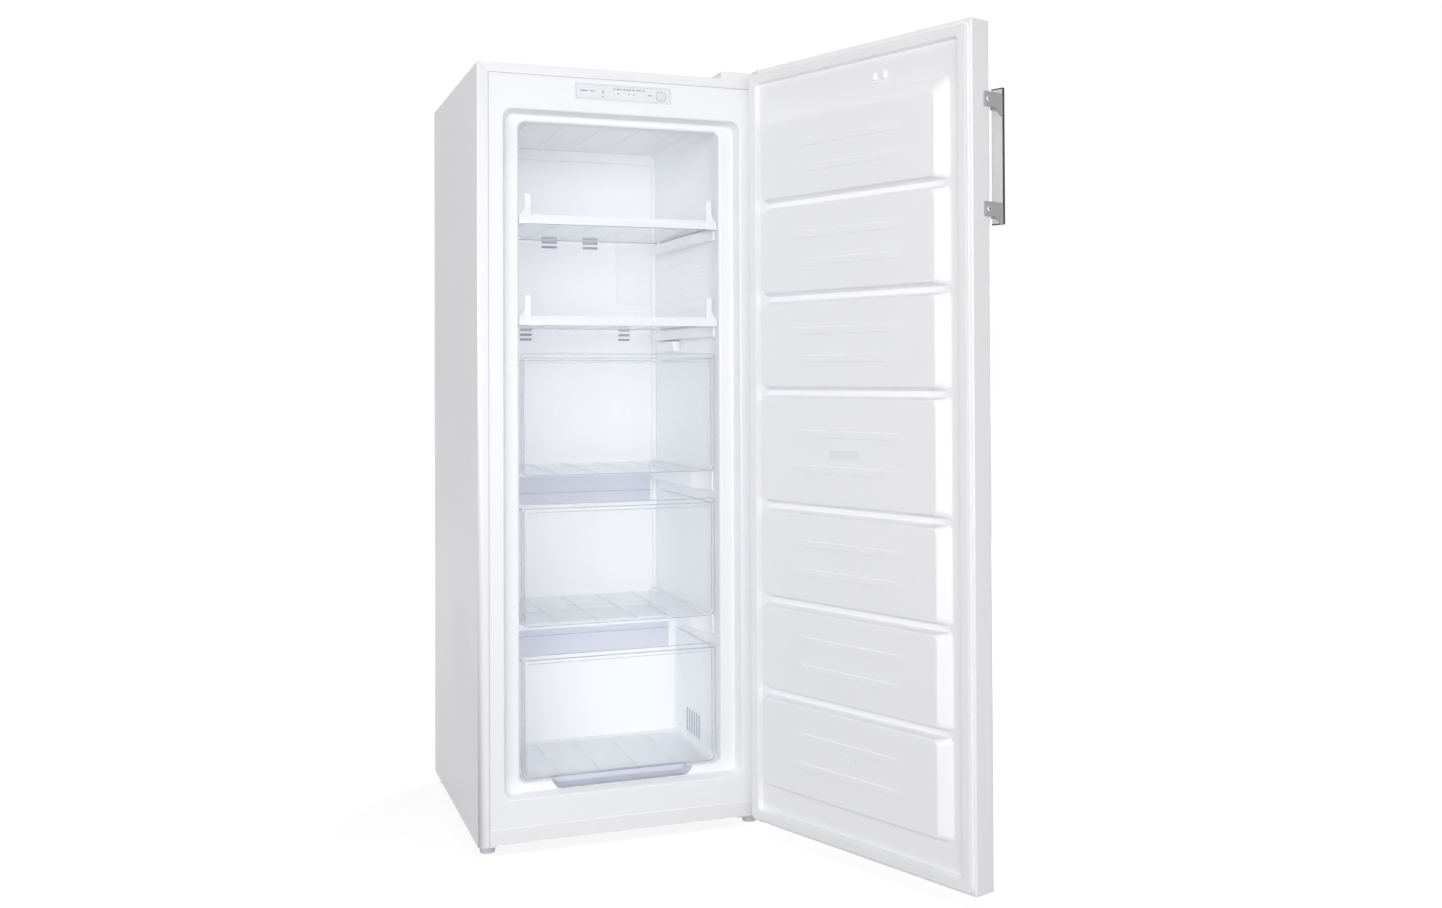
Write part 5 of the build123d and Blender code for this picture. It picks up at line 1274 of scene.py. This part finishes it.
@dataclass(frozen=True)
class Shelf:
    """Clear shelf with ribs and runners beneath, and a white trim along its front."""

    name: str
    sheet: float = 3.0
    corner: float = 6.0
    rib_inset: float = 12.0
    runner: float = 10.0
    ribs: int = 4
    rib_pitch: float = 75.0
    rib: Pair = (3.0, 2.0)
    trim_height: float = 17.5
    lower_band: float = 9.0
    slope: float = 5.0
    tab: Pair = (168.5, 179.5)
    tab_sheet: float = 4.0
    gusset: float = 12.0

    def build_panel(self) -> None:
        """Clear panel and what stiffens it."""
        room = Room.of(f"shelf_{self.name}_plate")
        top = room.z[1]
        under = top - self.sheet
        sheet = Form().slab(room.x, room.y, (under, top), 0.7, self.corner, Facing.Z)
        panel = sheet.closed().object(f"shelf_{self.name}_panel", CLEAR)
        form = Form()
        ends = grown(room.y, -self.rib_inset)
        for side in (room.x[0], room.x[1] - self.runner):
            form.slab((side, side + self.runner), ends, (room.z[0], under + 0.5), 0.8)
        width, height = self.rib
        first = -self.rib_pitch * (self.ribs - 1) / 2
        for number in range(self.ribs):
            x = first + number * self.rib_pitch
            form.slab(grown((x, x), width / 2), ends, (under - height, under + 0.5), 0.6)
        work_in(panel, form.closed(), Joining.WELD)
        settle(panel, CLEAR, "cabinet", f"shelf_{self.name}_plate")

    def build_trim(self) -> None:
        """Trim with a sloping upper band, and the tab and gusset at each end."""
        room = Room.of(f"shelf_{self.name}_trim")
        front, back = room.y
        low, high = room.z
        top = low + self.trim_height
        edge = low + self.lower_band
        profile = [(front, low), (back, low), (back, top), (front + self.slope, top), (front, edge)]
        form = Form().profile(profile, room.x, Facing.X, 0.8)
        trim = form.closed().object(f"shelf_{self.name}_edge", TRIM_PLASTIC)
        sheet = (front + 0.4, front + self.tab_sheet)
        for side in (-1, 1):
            inner, outer, end = (side * x for x in (*self.tab, room.x[1] - 0.4))
            tab = Form().slab(sorted((inner, outer)), sheet, (low + 2.0, high), 0.9, 3.5)
            work_in(trim, tab.closed(), Joining.WELD)
            corner = top + self.gusset
            points = [(inner, low + 1), (end, low + 1), (end, edge), (outer, corner), (inner, corner)]
            gusset = Form().profile(points, grown(sheet, -0.3), Facing.Y, 0.7)
            work_in(trim, gusset.closed(), Joining.WELD)
        settle(trim, TRIM_PLASTIC, "cabinet", f"shelf_{self.name}_trim")

    def build_edge_shade(self) -> None:
        """Painted shade lines along the thick edges of the clear sheet, and a painted shadow line under the foot of
        the trim.
        """
        room = Room.of(f"shelf_{self.name}_plate")
        trim = Room.of(f"shelf_{self.name}_trim")
        top = room.z[1]
        z = (top - self.sheet, top - 0.2)
        # Painted shade: grey lines along the back and side edges of the clear sheet.
        form = Form().slab(grown(room.x, -self.corner), (room.y[1] - 2.0, room.y[1] - 0.1), z, 0.5)
        for side in (-1, 1):
            x = sorted((side * (room.x[1] - 1.6), side * (room.x[1] - 0.1)))
            form.slab(x, grown(room.y, -8.0), z, 0.5)
        # Painted shadow: a grey line under the foot of the trim.
        form.slab(grown(trim.x, -14.0), (trim.y[0] + 1.5, trim.y[1]), (trim.z[0], trim.z[0] + 1.6), 0.4)
        edges = form.closed().object(f"shelf_{self.name}_rim_shade", CLEAR_EDGE_SHADE)
        settle(edges, CLEAR_EDGE_SHADE, "cabinet", f"shelf_{self.name}_plate")

    def build(self) -> None:
        """Make the panel, its trim and the painted shade along their edges."""
        self.build_panel()
        self.build_trim()
        self.build_edge_shade()


@dataclass(frozen=True)
class Drawer:
    """Clear drawer: a tub with a side rim and floor ribs, behind a front plate with a lip."""

    name: str
    floor_half: float = 177.0
    rim_half: float = 181.0
    wall: float = 2.5
    corner: float = 15.0
    ribs: int = 4
    rib_pitch: float = 75.0
    rib: Pair = (5.0, 1.2)
    rib_inset: float = 20.0
    lip: float = 8.3
    lip_reach: float = 4.0
    frame_inset: float = 10.0
    frame_drop: float = 18.0
    frame_radius: float = 9.0
    plate_radii: Pair = (14.0, 5.0)
    overrun: float = 40.0

    def build_tub(self) -> None:
        """Tub that widens to its rim, open at the front where the plate closes it."""
        room = Room.of(f"drawer_{self.name}_tub")
        y = (room.y[0] - self.overrun, room.y[1])
        low, rim = room.z
        base = Outline(both(self.floor_half), y, self.corner)
        side = Outline(both(self.rim_half), y, self.corner)
        flange = Outline(room.x, y, self.corner)
        sections = [
            (low, base),
            (rim - self.wall, side),
            (rim - self.wall, flange),
            (rim, flange),
            (rim, side.grown(-self.wall)),
            (low + self.wall, base.grown(-self.wall)),
        ]
        form = Form().loft(Facing.Z, sections, {0: 6.0, 3: 0.8, 5: 4.0})
        form.closed().kept((0, room.y[0], 0), (0, -1, 0)).filled()
        width, height = self.rib
        first = -self.rib_pitch * (self.ribs - 1) / 2
        for number in range(self.ribs):
            x = first + number * self.rib_pitch
            z = (low + self.wall - 0.6, low + self.wall + height)
            form.slab(grown((x, x), width / 2), grown(room.y, -self.rib_inset), z, 0.5)
        tub = form.closed().object(f"drawer_{self.name}_bin", CLEAR)
        settle(tub, CLEAR, f"drawer_{self.name}", f"drawer_{self.name}_tub")

    def build_front(self) -> None:
        """Front plate, round at its lower corners, with its lip and a raised frame."""
        room = Room.of(f"drawer_{self.name}_front")
        x, z = room.x, room.z
        face, back = room.y[0] + self.lip_reach, room.y[1]
        plate = Outline(x, z, *self.plate_radii)
        form = Form().loft(Facing.Y, [(back, plate), (face, plate)], {0: 0.7, 1: 1.2})
        front = form.closed().object(f"drawer_{self.name}_face", CLEAR)
        form = Form().slab(grown(x, -5.0), (room.y[0], face + 0.9), (z[1] - self.lip, z[1] - 0.2), 1.2)
        inner_z = (z[0] + self.frame_inset, z[1] - self.frame_drop)
        inner = Outline(grown(x, -self.frame_inset), inner_z, self.frame_radius)
        form.framed(Facing.Y, inner, [(face + 0.5, 0.0), (face - 0.6, 0.3), (face - 0.6, 1.4), (face + 0.5, 1.7)])
        work_in(front, form.closed(), Joining.WELD)
        settle(front, CLEAR, f"drawer_{self.name}", f"drawer_{self.name}_front")

    def build_edge_shade(self) -> None:
        """Painted shade lines along the thick edges of the clear plastic, standing in for the grey seen along its
        depth.
        """
        front = Room.of(f"drawer_{self.name}_front")
        tub = Room.of(f"drawer_{self.name}_tub")
        face = front.y[0] + self.lip_reach
        rim = tub.z[1]
        outline = Outline(front.x, front.z, *self.plate_radii)
        # Painted shade: grey-blue lines along the front plate's edge, under its lip, up the tub's sides and along its
        # rim.
        form = Form()
        form.framed(Facing.Y, outline, [(face + 0.5, 0.1), (face - 0.2, 0.3), (face - 0.2, 1.2), (face + 0.5, 1.4)])
        low = front.z[1] - self.lip
        form.slab(grown(front.x, -5.2), (front.y[0] - 0.1, face + 0.2), (low - 0.5, low + 0.5), 0.3)
        form.slab(grown(front.x, -11.0), (face - 0.2, face + 0.3), (low - 7.6, low - 6.8), 0.2)
        for side in (-1, 1):
            wall = sorted((side * (self.rim_half - 0.9), side * (self.rim_half + 0.3)))
            form.slab(wall, (tub.y[0] + 0.2, tub.y[0] + 1.4), (tub.z[0] + 12.0, rim - 3.0), 0.4)
            edge = sorted((side * (front.x[1] - 1.4), side * (front.x[1] - 0.5)))
            form.slab(edge, (tub.y[0] + 1.0, tub.y[1] - 16.0), (rim - 1.6, rim - 0.8), 0.3)
        form.slab(both(self.rim_half - 16.0), (tub.y[1] - 2.4, tub.y[1] - 0.2), (rim - 1.4, rim - 0.1), 0.4)
        edges = form.closed().object(f"drawer_{self.name}_edges", CLEAR_EDGE_SHADE)
        settle(edges, CLEAR_EDGE_SHADE, f"drawer_{self.name}", f"drawer_{self.name}_front")

    def build(self) -> None:
        """Make the tub, the front plate and the painted shade lines along their edges."""
        self.build_tub()
        self.build_front()
        self.build_edge_shade()


# Door


@dataclass(frozen=True)
class Door:
    """Door that stands open: a steel skin between two caps, a liner with raised blocks and a gasket."""

    skin: Room = HINGE.closed_room("door_skin")
    top_cap: Room = HINGE.closed_room("door_top_cap")
    bottom_cap: Room = HINGE.closed_room("door_bottom_cap")
    liner: Room = HINGE.closed_room("door_liner")
    gasket: Room = HINGE.closed_room("door_gasket")
    outer_radius: float = 8.0
    inner_radius: float = 2.5
    sheet: float = 0.8
    flange: float = 14.0
    notch: Room = Room((242.5, 290.0), (-340.0, -260.0), (1418.0, 1440.0))
    plug_inset: float = 0.8
    crests: tuple[Pair, ...] = (
        (1177.0, 1317.0), (1004.0, 1156.0), (832.0, 983.0), (624.0, 811.0),
        (450.0, 603.0), (280.0, 429.0), (101.0, 259.0),
    )
    foot: Pair = (-224.5, 227.5)
    crest: Pair = (-206.5, 219.5)
    end_run: float = 5.0
    top_run: float = 22.0
    proud: float = 18.0
    block_radius: float = 11.0
    plate_sheet: float = 1.5
    flare: float = 2.5
    band: Pair = (290.0, 13.0)
    band_proud: float = 1.4
    band_fade: float = 42.0
    catch_humps: tuple[Pair, ...] = ((-83.5, -73.5), (-59.5, -49.5))
    hump_level: Pair = (1359.0, 1371.0)
    gasket_width: float = 21.0
    gasket_inner_radius: float = 8.0
    label_x: Pair = (-32.5, 42.5)
    label_z: Pair = (706.0, 722.0)
    ring_x: Pair = (-2.0, 12.0)
    ring_z: Pair = (180.0, 194.0)

    @property
    def inner(self) -> float:
        """Level of the door's inner face."""
        return self.skin.y[1]

    def plan(self, inset: float = 0.0) -> Outline:
        """Outline of the door seen from above."""
        lower, upper = (max(r - inset, 0.4) for r in (self.outer_radius, self.inner_radius))
        return Outline(grown(self.skin.x, -inset), grown(self.skin.y, -inset), lower, upper)

    def notch_form(self) -> Form:
        """Corner that the hinge arm lies in."""
        return Form().slab(self.notch.x, self.notch.y, self.notch.z, 1.5).closed().swung(HINGE)

    def build_skin(self) -> None:
        """Folded sheet: face, sides and the returns behind them."""
        form = Form().loft(Facing.Z, [(level, self.plan()) for level in self.skin.z], capped=(False, False))
        opening = self.skin.x[1] - self.flange
        for x in both(opening):
            geom = [*form.bm.verts, *form.bm.edges, *form.bm.faces]
            bmesh.ops.bisect_plane(form.bm, geom=geom, dist=Form.MERGE, plane_co=(x, 0, 0), plane_no=(1, 0, 0))
        behind = [
            f for f in form.bm.faces
            if f.calc_center_median().y > self.inner - 0.1 and abs(f.calc_center_median().x) < opening
        ]
        bmesh.ops.delete(form.bm, geom=behind, context="FACES")
        form.closed().swung(HINGE)
        skin = form.object("door_skin_sheet", DOOR_STEEL)
        wall = skin.modifiers.new("sheet", "SOLIDIFY")
        wall.thickness = self.sheet * MM
        wall.offset = -1.0
        work_in(skin, self.notch_form(), Joining.CUT)
        settle(skin, DOOR_STEEL, "door", "door_skin")

    def build_caps(self) -> None:
        """Caps that close the skin at the top and the bottom, with their plugs."""
        ends = (
            ("bottom", self.bottom_cap.z[0], self.skin.z[0], self.bottom_cap.z[1]),
            ("top", self.top_cap.z[1], self.skin.z[1], self.top_cap.z[0]),
        )
        for name, outer, level, plug in ends:
            inner_plan = self.plan(self.plug_inset + 0.2)
            sections = [(outer, self.plan()), (level, self.plan()), (level, inner_plan), (plug, inner_plan)]
            form = Form().loft(Facing.Z, sections, {0: 1.6}).closed().swung(HINGE)
            cap = form.object(f"door_{name}_end", CAP_PLASTIC)
            if name == "top":
                work_in(cap, self.notch_form(), Joining.CUT)
            settle(cap, CAP_PLASTIC, "door", f"door_{name}_cap")

    def build_liner(self) -> None:
        """Thermoformed inner face with its raised blocks, bands and humps."""
        inner = self.inner
        (left, right), (low, high) = self.liner.x, self.skin.z
        corner, arm = self.notch.x[0], self.notch.z[0]
        plate = [(left, low), (right, low), (right, arm), (corner, arm), (corner, high), (left, high)]
        form = Form().profile(plate, (inner - self.plate_sheet, inner), Facing.Y)
        for number, (low, high) in enumerate(self.crests):
            top = self.top_run if number == 0 else self.end_run
            foot = Outline(self.foot, (low - self.end_run, high + top), self.block_radius)
            crest = Outline(self.crest, (low, high), self.block_radius)
            sections = [
                (inner - 0.6, foot.grown(self.flare)),
                (inner + 0.1, foot.grown(self.flare)),
                (inner + 0.7, foot.grown(self.flare * 0.3)),
                (inner + self.flare, foot.grown(-0.4)),
                (inner + self.proud, crest),
            ]
            form.loft(Facing.Y, sections, {4: 2.4})
            self.add_bands(form, (low, high))
        for x in self.catch_humps:
            hump = Outline(x, self.hump_level, 2.5)
            form.loft(Facing.Y, [(inner - 0.4, hump.grown(0.8)), (inner + 5.0, hump)], {1: 1.6})
        form.closed().swung(HINGE)
        liner = form.object("door_inner_face", DOOR_PLASTIC)
        settle(liner, DOOR_PLASTIC, "door", "door_liner")

    def add_bands(self, form: Form, level: Pair) -> None:
        """Add the two low bands across a block's crest."""
        width, height = self.band
        face = self.inner + self.proud
        for side in (-1, 1):
            z = middle(level) + side * span(level) / 6
            base = Outline(grown((middle(self.crest),) * 2, width / 2), grown((z, z), height / 2), height * 0.3)
            top = Outline(grown(base.across, -self.band_fade), grown(base.up, -0.8), height * 0.3)
            form.loft(Facing.Y, [(face - 0.3, base), (face + self.band_proud, top)], {1: 0.5})

    def build_plates(self) -> None:
        """Bare label plate on the middle block and the plain ring on the lowest one."""
        face = self.inner + self.proud
        form = Form()
        label = Outline(self.label_x, self.label_z, 2.5)
        form.loft(Facing.Y, [(face - 0.3, label), (face + 0.35, label)], {1: 0.25})
        rim = [(face, 0.0), (face + 0.75, 0.2), (face + 0.75, 1.1), (face, 1.3)]
        form.framed(Facing.Y, label, rim)
        ring = Outline(self.ring_x, self.ring_z, span(self.ring_x) / 2 - 0.2)
        form.framed(Facing.Y, ring, rim)
        plates = form.closed().swung(HINGE).object("door_plain_plates", CAP_PLASTIC)
        settle(plates, CAP_PLASTIC, "door", "door_liner")

    def build_gasket(self) -> None:
        """Bellows of the gasket, with its magnet chamber in front and the folds beside it."""
        back, front = self.gasket.y
        outer = Outline(self.gasket.x, self.gasket.z, 6.0)
        width = self.gasket_width
        profile = [
            (back, 1.0), (back + 2.2, 0.0), (back + 3.2, 1.6), (back + 4.2, 0.2), (front - 1.5, 0.0),
            (front - 0.5, 0.6), (front, 2.2), (front, 4.0), (front - 0.35, 4.4), (front, 4.8),
            (front, width - 4.4), (front - 0.9, width - 2.9), (front - 1.7, width - 2.5),
            (back + 3.0, width - 1.2), (back, width),
        ]
        sections = []
        for level, inset in profile:
            radius = outer.radius if inset < width / 2 else self.gasket_inner_radius
            sections.append((level, Outline(grown(outer.across, -inset), grown(outer.up, -inset), radius)))
        form = Form().loft(Facing.Y, sections, ring=True).closed().swung(HINGE)
        gasket = form.object("door_gasket_bellows", SOFT_VINYL)
        settle(gasket, SOFT_VINYL, "door", "door_gasket")

    def build(self) -> None:
        """Make the skin, the caps, the liner and the gasket."""
        self.build_skin()
        self.build_caps()
        self.build_liner()
        self.build_plates()
        self.build_gasket()


@dataclass(frozen=True)
class Handle:
    """Brushed bar with black ends, held off the door's edge by two folded brackets."""

    bar: Room = HINGE.closed_room("handle_bar")
    caps: Room = HINGE.closed_room("handle_caps")
    lower: Room = HINGE.closed_room("handle_bracket_lower")
    upper: Room = HINGE.closed_room("handle_bracket_upper")
    screws: Room = HINGE.closed_room("handle_screws")
    sheet: float = 4.0
    height: float = 24.4
    gusset: float = 12.0
    gusset_reach: float = 17.0
    screw_radius: float = 4.5
    strip: float = 4.2
    shank: float = 2.0
    cross: Pair = (5.2, 1.5)
    cross_half: float = 0.75
    bar_play: float = 0.6

    def build_bar(self) -> None:
        """Bar with soft edges, a black strip of painted shade along its outer side, and its two end caps."""
        x, y = grown(self.bar.x, -self.bar_play), grown(self.bar.y, -self.bar_play)
        bar = Form().slab(x, y, self.bar.z, 1.6, 3.0, Facing.Z)
        brushed = bar.closed().swung(HINGE).object("handle_bar_brushed", BRUSHED)
        settle(brushed, BRUSHED, "door", "handle_bar")
        form = Form()
        for z in ((self.caps.z[0], self.bar.z[0]), (self.bar.z[1], self.caps.z[1])):
            form.slab(self.caps.x, self.caps.y, z, 0.7, 2.6, Facing.Z)
        # Painted shade: a black strip on the bar's narrow outer face stands in for the shade on that side.
        strip = grown((middle(self.bar.y),) * 2, self.strip / 2)
        form.slab((x[0] - 0.1, x[0] + 2.0), strip, grown(self.bar.z, 1.0), 0.4)
        ends = form.closed().swung(HINGE).object("handle_end_caps_and_side_shade", BLACK_PLASTIC)
        settle(ends, BLACK_PLASTIC, "door", "handle_caps")

    def build_bracket(self, name: str, room: Room) -> None:
        """Cheek, tongue and gusset of one bracket.

        Args:
            name: Which bracket it is.
            room: The box that it fills.
        """
        top = room.z[1]
        low = top - self.height
        cheek = (room.x[0], room.x[0] + self.sheet)
        form = Form().slab(cheek, room.y, (low, top), 0.9, 2.0, Facing.X)
        form.slab((cheek[1] - 0.5, room.x[1]), (room.y[0], room.y[0] + self.sheet), (low, top), 0.9)
        root, foot = room.y[0], low - self.gusset
        tip = root + self.gusset_reach
        points = [(root, low + 1.0), (tip, low + 1.0), (tip, low - 0.5), (root + 2.0, foot), (root, foot)]
        form.profile(points, cheek, Facing.X, 0.7)
        bracket = form.closed().swung(HINGE).object(f"handle_clamp_{name}", BRACKET_GREY)
        settle(bracket, BRACKET_GREY, "door", f"handle_bracket_{name}")

    def build_screws(self) -> None:
        """Cross-head screws through the cheeks, with the shade of their recesses."""
        y = middle(self.screws.y)
        head, foot = self.screws.x
        form, shade, level_cuts, upright_cuts = Form(), Form(), Form(), Form()
        width, depth = self.cross
        radius = self.screw_radius
        seat = self.lower.x[0] + 0.05
        profile = [
            (0.0, head), (radius * 0.55, head + 0.1), (radius * 0.9, head + 0.6), (radius, head + 1.1),
            (radius, seat), (self.shank, seat), (self.shank, foot), (0.0, foot),
        ]
        cut = (head - 1.0, head + depth)
        for room in (self.lower, self.upper):
            z = room.z[1] - self.height / 2
            form.turned(profile, Vector((0, y, z)), Facing.X, 28)
            level_cuts.slab(cut, grown((y, y), width / 2), grown((z, z), self.cross_half), 0)
            upright_cuts.slab(cut, grown((y, y), self.cross_half), grown((z, z), width / 2), 0)
            recess = (head + 0.7, head + 1.4)
            long, short = width / 2 - 0.1, self.cross_half - 0.1
            shade.slab(recess, grown((y, y), long), grown((z, z), short), 0)
            shade.slab(recess, grown((y, y), short), grown((z, z), long), 0)
        dark = shade.closed().swung(HINGE).object("handle_screw_recesses", BLACK_PLASTIC)
        settle(dark, BLACK_PLASTIC, "door", "handle_screws")
        screws = form.closed().swung(HINGE).object("handle_cross_screws", SCREW_STEEL)
        for cuts in (level_cuts, upright_cuts):
            work_in(screws, cuts.closed().swung(HINGE), Joining.CUT)
        settle(screws, SCREW_STEEL, "door", "handle_screws")

    def build(self) -> None:
        """Make the bar, the brackets and the screws."""
        self.build_bar()
        self.build_bracket("lower", self.lower)
        self.build_bracket("upper", self.upper)
        self.build_screws()


@dataclass(frozen=True)
class FrontFoot:
    """Levelling foot with a fluted rim that fingers can turn."""

    side: str
    pad: float = 15.0
    stud: float = 4.0
    height: float = 15.7
    flutes: int = 24
    flute: float = 0.9
    flute_edge: float = 0.25

    def build(self) -> None:
        """Make the foot."""
        node = f"front_foot_{self.side}"
        room = Room.of(node)
        low, high = room.z
        top = low + self.height
        profile = [
            (0.0, low), (self.pad - 3.5, low), (self.pad - 1.8, low + 0.8), (self.pad - 1.4, low + 3.0),
            (self.pad - 1.4, top - 3.0), (self.pad, top - 2.2), (self.pad, top - 0.6), (self.pad - 0.7, top),
            (self.stud, top), (self.stud, high - 0.6), (self.stud - 0.6, high), (0.0, high),
        ]
        centre = Vector((middle(room.x), middle(room.y), 0))
        form = Form().turned(profile, centre, Facing.Z, self.flutes * 2).closed()
        walls = [
            f for f in form.bm.faces
            if abs(f.normal.z) < 0.1 and low + 3.0 < f.calc_center_median().z < top - 3.0
        ]
        walls.sort(key=lambda f: math.atan2(f.calc_center_median().y - centre.y, f.calc_center_median().x - centre.x))
        bmesh.ops.inset_individual(form.bm, faces=walls[::2], thickness=self.flute_edge, depth=-self.flute)
        foot = form.closed().object(f"{node}_fluted", FOOT_NYLON)
        settle(foot, FOOT_NYLON, node, node)


# Studio


@dataclass(frozen=True)
class Camera:
    """Lens that saw the photograph, in its frame of 1442 by 908."""

    width: float = 1442.0
    height: float = 908.0
    focal: float = 1432.46
    principal: Pair = (760.0, 357.41)
    place: tuple[float, float, float] = (-703.27, -2825.74, 854.17)
    yaw: float = math.radians(20.726)
    pitch: float = math.radians(0.697)
    roll: float = math.radians(-0.247)
    sensor: float = 36.0

    def build(self) -> None:
        """Make the camera and give it to the scene."""
        flat = math.cos(self.pitch)
        forward = Vector((math.sin(self.yaw) * flat, math.cos(self.yaw) * flat, math.sin(self.pitch)))
        level = Vector((math.cos(self.yaw), -math.sin(self.yaw), 0))
        upright = level.cross(forward)
        right = math.cos(self.roll) * level + math.sin(self.roll) * upright
        up = -math.sin(self.roll) * level + math.cos(self.roll) * upright
        turn = Matrix((right, up, -forward)).transposed().to_4x4()
        data = bpy.data.cameras.new("photograph_camera")
        data.sensor_width = self.sensor
        data.lens = self.focal / self.width * self.sensor
        data.shift_x = (self.width / 2 - self.principal[0]) / self.width
        data.shift_y = (self.principal[1] - self.height / 2) / self.width
        data.clip_end = 100.0
        camera = bpy.data.objects.new("photograph_camera", data)
        camera.matrix_world = Matrix.Translation(Vector(self.place) * MM) @ turn
        bpy.context.scene.collection.objects.link(camera)
        bpy.context.scene.camera = camera


@dataclass(frozen=True)
class Lamp:
    """Soft rectangle of light that the camera doesn't see, in metres and watts."""

    name: str
    place: tuple[float, float, float]
    aim: tuple[float, float, float]
    size: Pair
    power: float

    def build(self) -> None:
        """Hang the lamp and turn it to its aim."""
        data = bpy.data.lights.new(self.name, "AREA")
        data.shape = "RECTANGLE"
        data.size, data.size_y = self.size
        data.energy = self.power
        lamp = bpy.data.objects.new(self.name, data)
        lamp.location = self.place
        lamp.rotation_euler = (Vector(self.aim) - Vector(self.place)).to_track_quat("-Z", "Y").to_euler()
        lamp.visible_camera = False
        bpy.context.scene.collection.objects.link(lamp)


@dataclass(frozen=True)
class Studio:
    """Pale floor, plain world and soft lamps."""

    floor_size: float = 30.0
    floor_colour: Colour = srgb(160, 160, 162)
    near_glow: float = 0.8
    far_glow: float = 1.0
    glow_reach: Pair = (1.0, 3.4)
    world_light: float = 0.14
    lamps: tuple[Lamp, ...] = (
        Lamp("front_lamp", (-0.3, -4.8, 0.8), (0.0, 0.0, 0.7), (2.8, 2.8), 76.0),
        Lamp("side_front_lamp", (-2.5, -4.1, 1.3), (0.0, 0.0, 0.7), (2.4, 2.4), 84.0),
        Lamp("left_lamp", (-4.0, -0.9, 2.2), (0.0, -0.2, 0.75), (2.2, 2.2), 22.0),
        Lamp("right_lamp", (2.6, -4.0, 1.4), (0.3, -0.4, 0.75), (2.0, 2.0), 20.0),
        Lamp("rear_lamp", (3.4, 3.0, 1.8), (0.0, 0.0, 0.75), (2.6, 2.6), 130.0),
        Lamp("top_lamp", (0.2, -0.6, 4.0), (0.0, -0.2, 0.0), (2.0, 2.0), 34.0),
        Lamp("compartment_lamp", (0.0, -0.2, 0.72), (0.0, 0.2, 0.72), (0.3, 1.15), 0.36),
    )

    def seen(self, graph: Graph) -> Value:
        """One for rays that see the background, straight, mirrored or through glass."""
        path = graph.node("ShaderNodeLightPath")
        kinds = [Value(graph, path.outputs[n]) for n in ("Is Camera Ray", "Is Glossy Ray", "Is Transmission Ray")]
        return kinds[0].math("MAXIMUM", kinds[1]).math("MAXIMUM", kinds[2])

    def distance(self, graph: Graph) -> Value:
        """Distance from the middle of the floor, in metres."""
        measure = graph.node("ShaderNodeVectorMath", {"operation": "LENGTH"}, {0: graph.place()})
        return Value(graph, measure.outputs["Value"])

    def build_floor(self) -> None:
        """Floor that is white to the eye and keeps the freezer's soft shadow."""
        form = Form()
        form.outline(Outline(both(self.floor_size / MM / 2), both(self.floor_size / MM / 2)), 0.0, Facing.Z)
        graph = Graph("studio_floor")
        seen = self.seen(graph)
        paint = graph.node("ShaderNodeBsdfDiffuse", None, {"Color": (*self.floor_colour, 1.0)})
        dark = graph.node("ShaderNodeEmission", None, {"Strength": 0.0})
        near, far = self.glow_reach
        ramp = {"Value": self.distance(graph), "From Min": near, "From Max": far}
        strength = graph.value("ShaderNodeMapRange", None, ramp | {"To Min": self.near_glow, "To Max": self.far_glow})
        glow = graph.node("ShaderNodeEmission", None, {"Color": (1, 1, 1, 1), "Strength": strength})
        lit = graph.node("ShaderNodeMixShader", None, {0: seen, 1: dark.outputs[0], 2: glow.outputs[0]})
        both_lights = graph.node("ShaderNodeAddShader", None, {0: paint.outputs[0], 1: lit.outputs[0]})
        graph.node("ShaderNodeOutputMaterial", None, {"Surface": both_lights.outputs[0]})
        mesh = bpy.data.meshes.new("studio_floor")
        bmesh.ops.scale(form.bm, vec=(MM, MM, MM), verts=form.bm.verts)
        form.bm.to_mesh(mesh)
        form.bm.free()
        mesh.materials.append(graph.material)
        floor = bpy.data.objects.new("studio_floor", mesh)
        bpy.context.scene.collection.objects.link(floor)

    def build_world(self) -> None:
        """World that is white to the eye and lights the freezer evenly."""
        world = bpy.data.worlds.new("studio_world")
        world.use_nodes = True
        graph = Graph("unused")
        bpy.data.materials.remove(graph.material)
        graph.tree = world.node_tree
        graph.tree.nodes.clear()
        seen = self.seen(graph)
        light = graph.node("ShaderNodeBackground", None, {"Color": (0.97, 0.98, 1, 1), "Strength": self.world_light})
        white = graph.node("ShaderNodeBackground", None, {"Color": (1, 1, 1, 1), "Strength": 1.0})
        shown = graph.node("ShaderNodeMixShader", None, {0: seen, 1: light.outputs[0], 2: white.outputs[0]})
        graph.node("ShaderNodeOutputWorld", None, {"Surface": shown.outputs[0]})
        bpy.context.scene.world = world

    def build(self) -> None:
        """Make the floor, the world and the lamps."""
        self.build_floor()
        self.build_world()
        for lamp in self.lamps:
            lamp.build()
        bpy.context.scene.view_settings.view_transform = "Standard"
        bpy.context.scene.cycles.transparent_max_bounces = 32
        bpy.context.scene.cycles.diffuse_bounces = 8


def dress_carried_over() -> None:
    """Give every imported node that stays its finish."""
    for node, finish in CARRIED_OVER.items():
        mesh = frame["nodes"][node].data
        mesh.materials.clear()
        mesh.materials.append(finish.material())
        LOG.info("%s keeps its packed shape", node)


def main() -> None:
    """Build the studio and every sub-assembly."""
    logging.basicConfig(level=logging.INFO, format="%(message)s")
    Camera().build()
    Studio().build()
    parts = [Cabinet(), LinerFittings(), RearDuct(), ControlPanel(), Door(), Handle()]
    parts += [Shelf(name) for name in ("lower", "upper")]
    parts += [Drawer(name) for name in ("lower", "middle", "upper")]
    parts += [FrontFoot(side) for side in ("left", "right")]
    for part in parts:
        part.build()
    dress_carried_over()


if __name__ == "__main__":
    main()
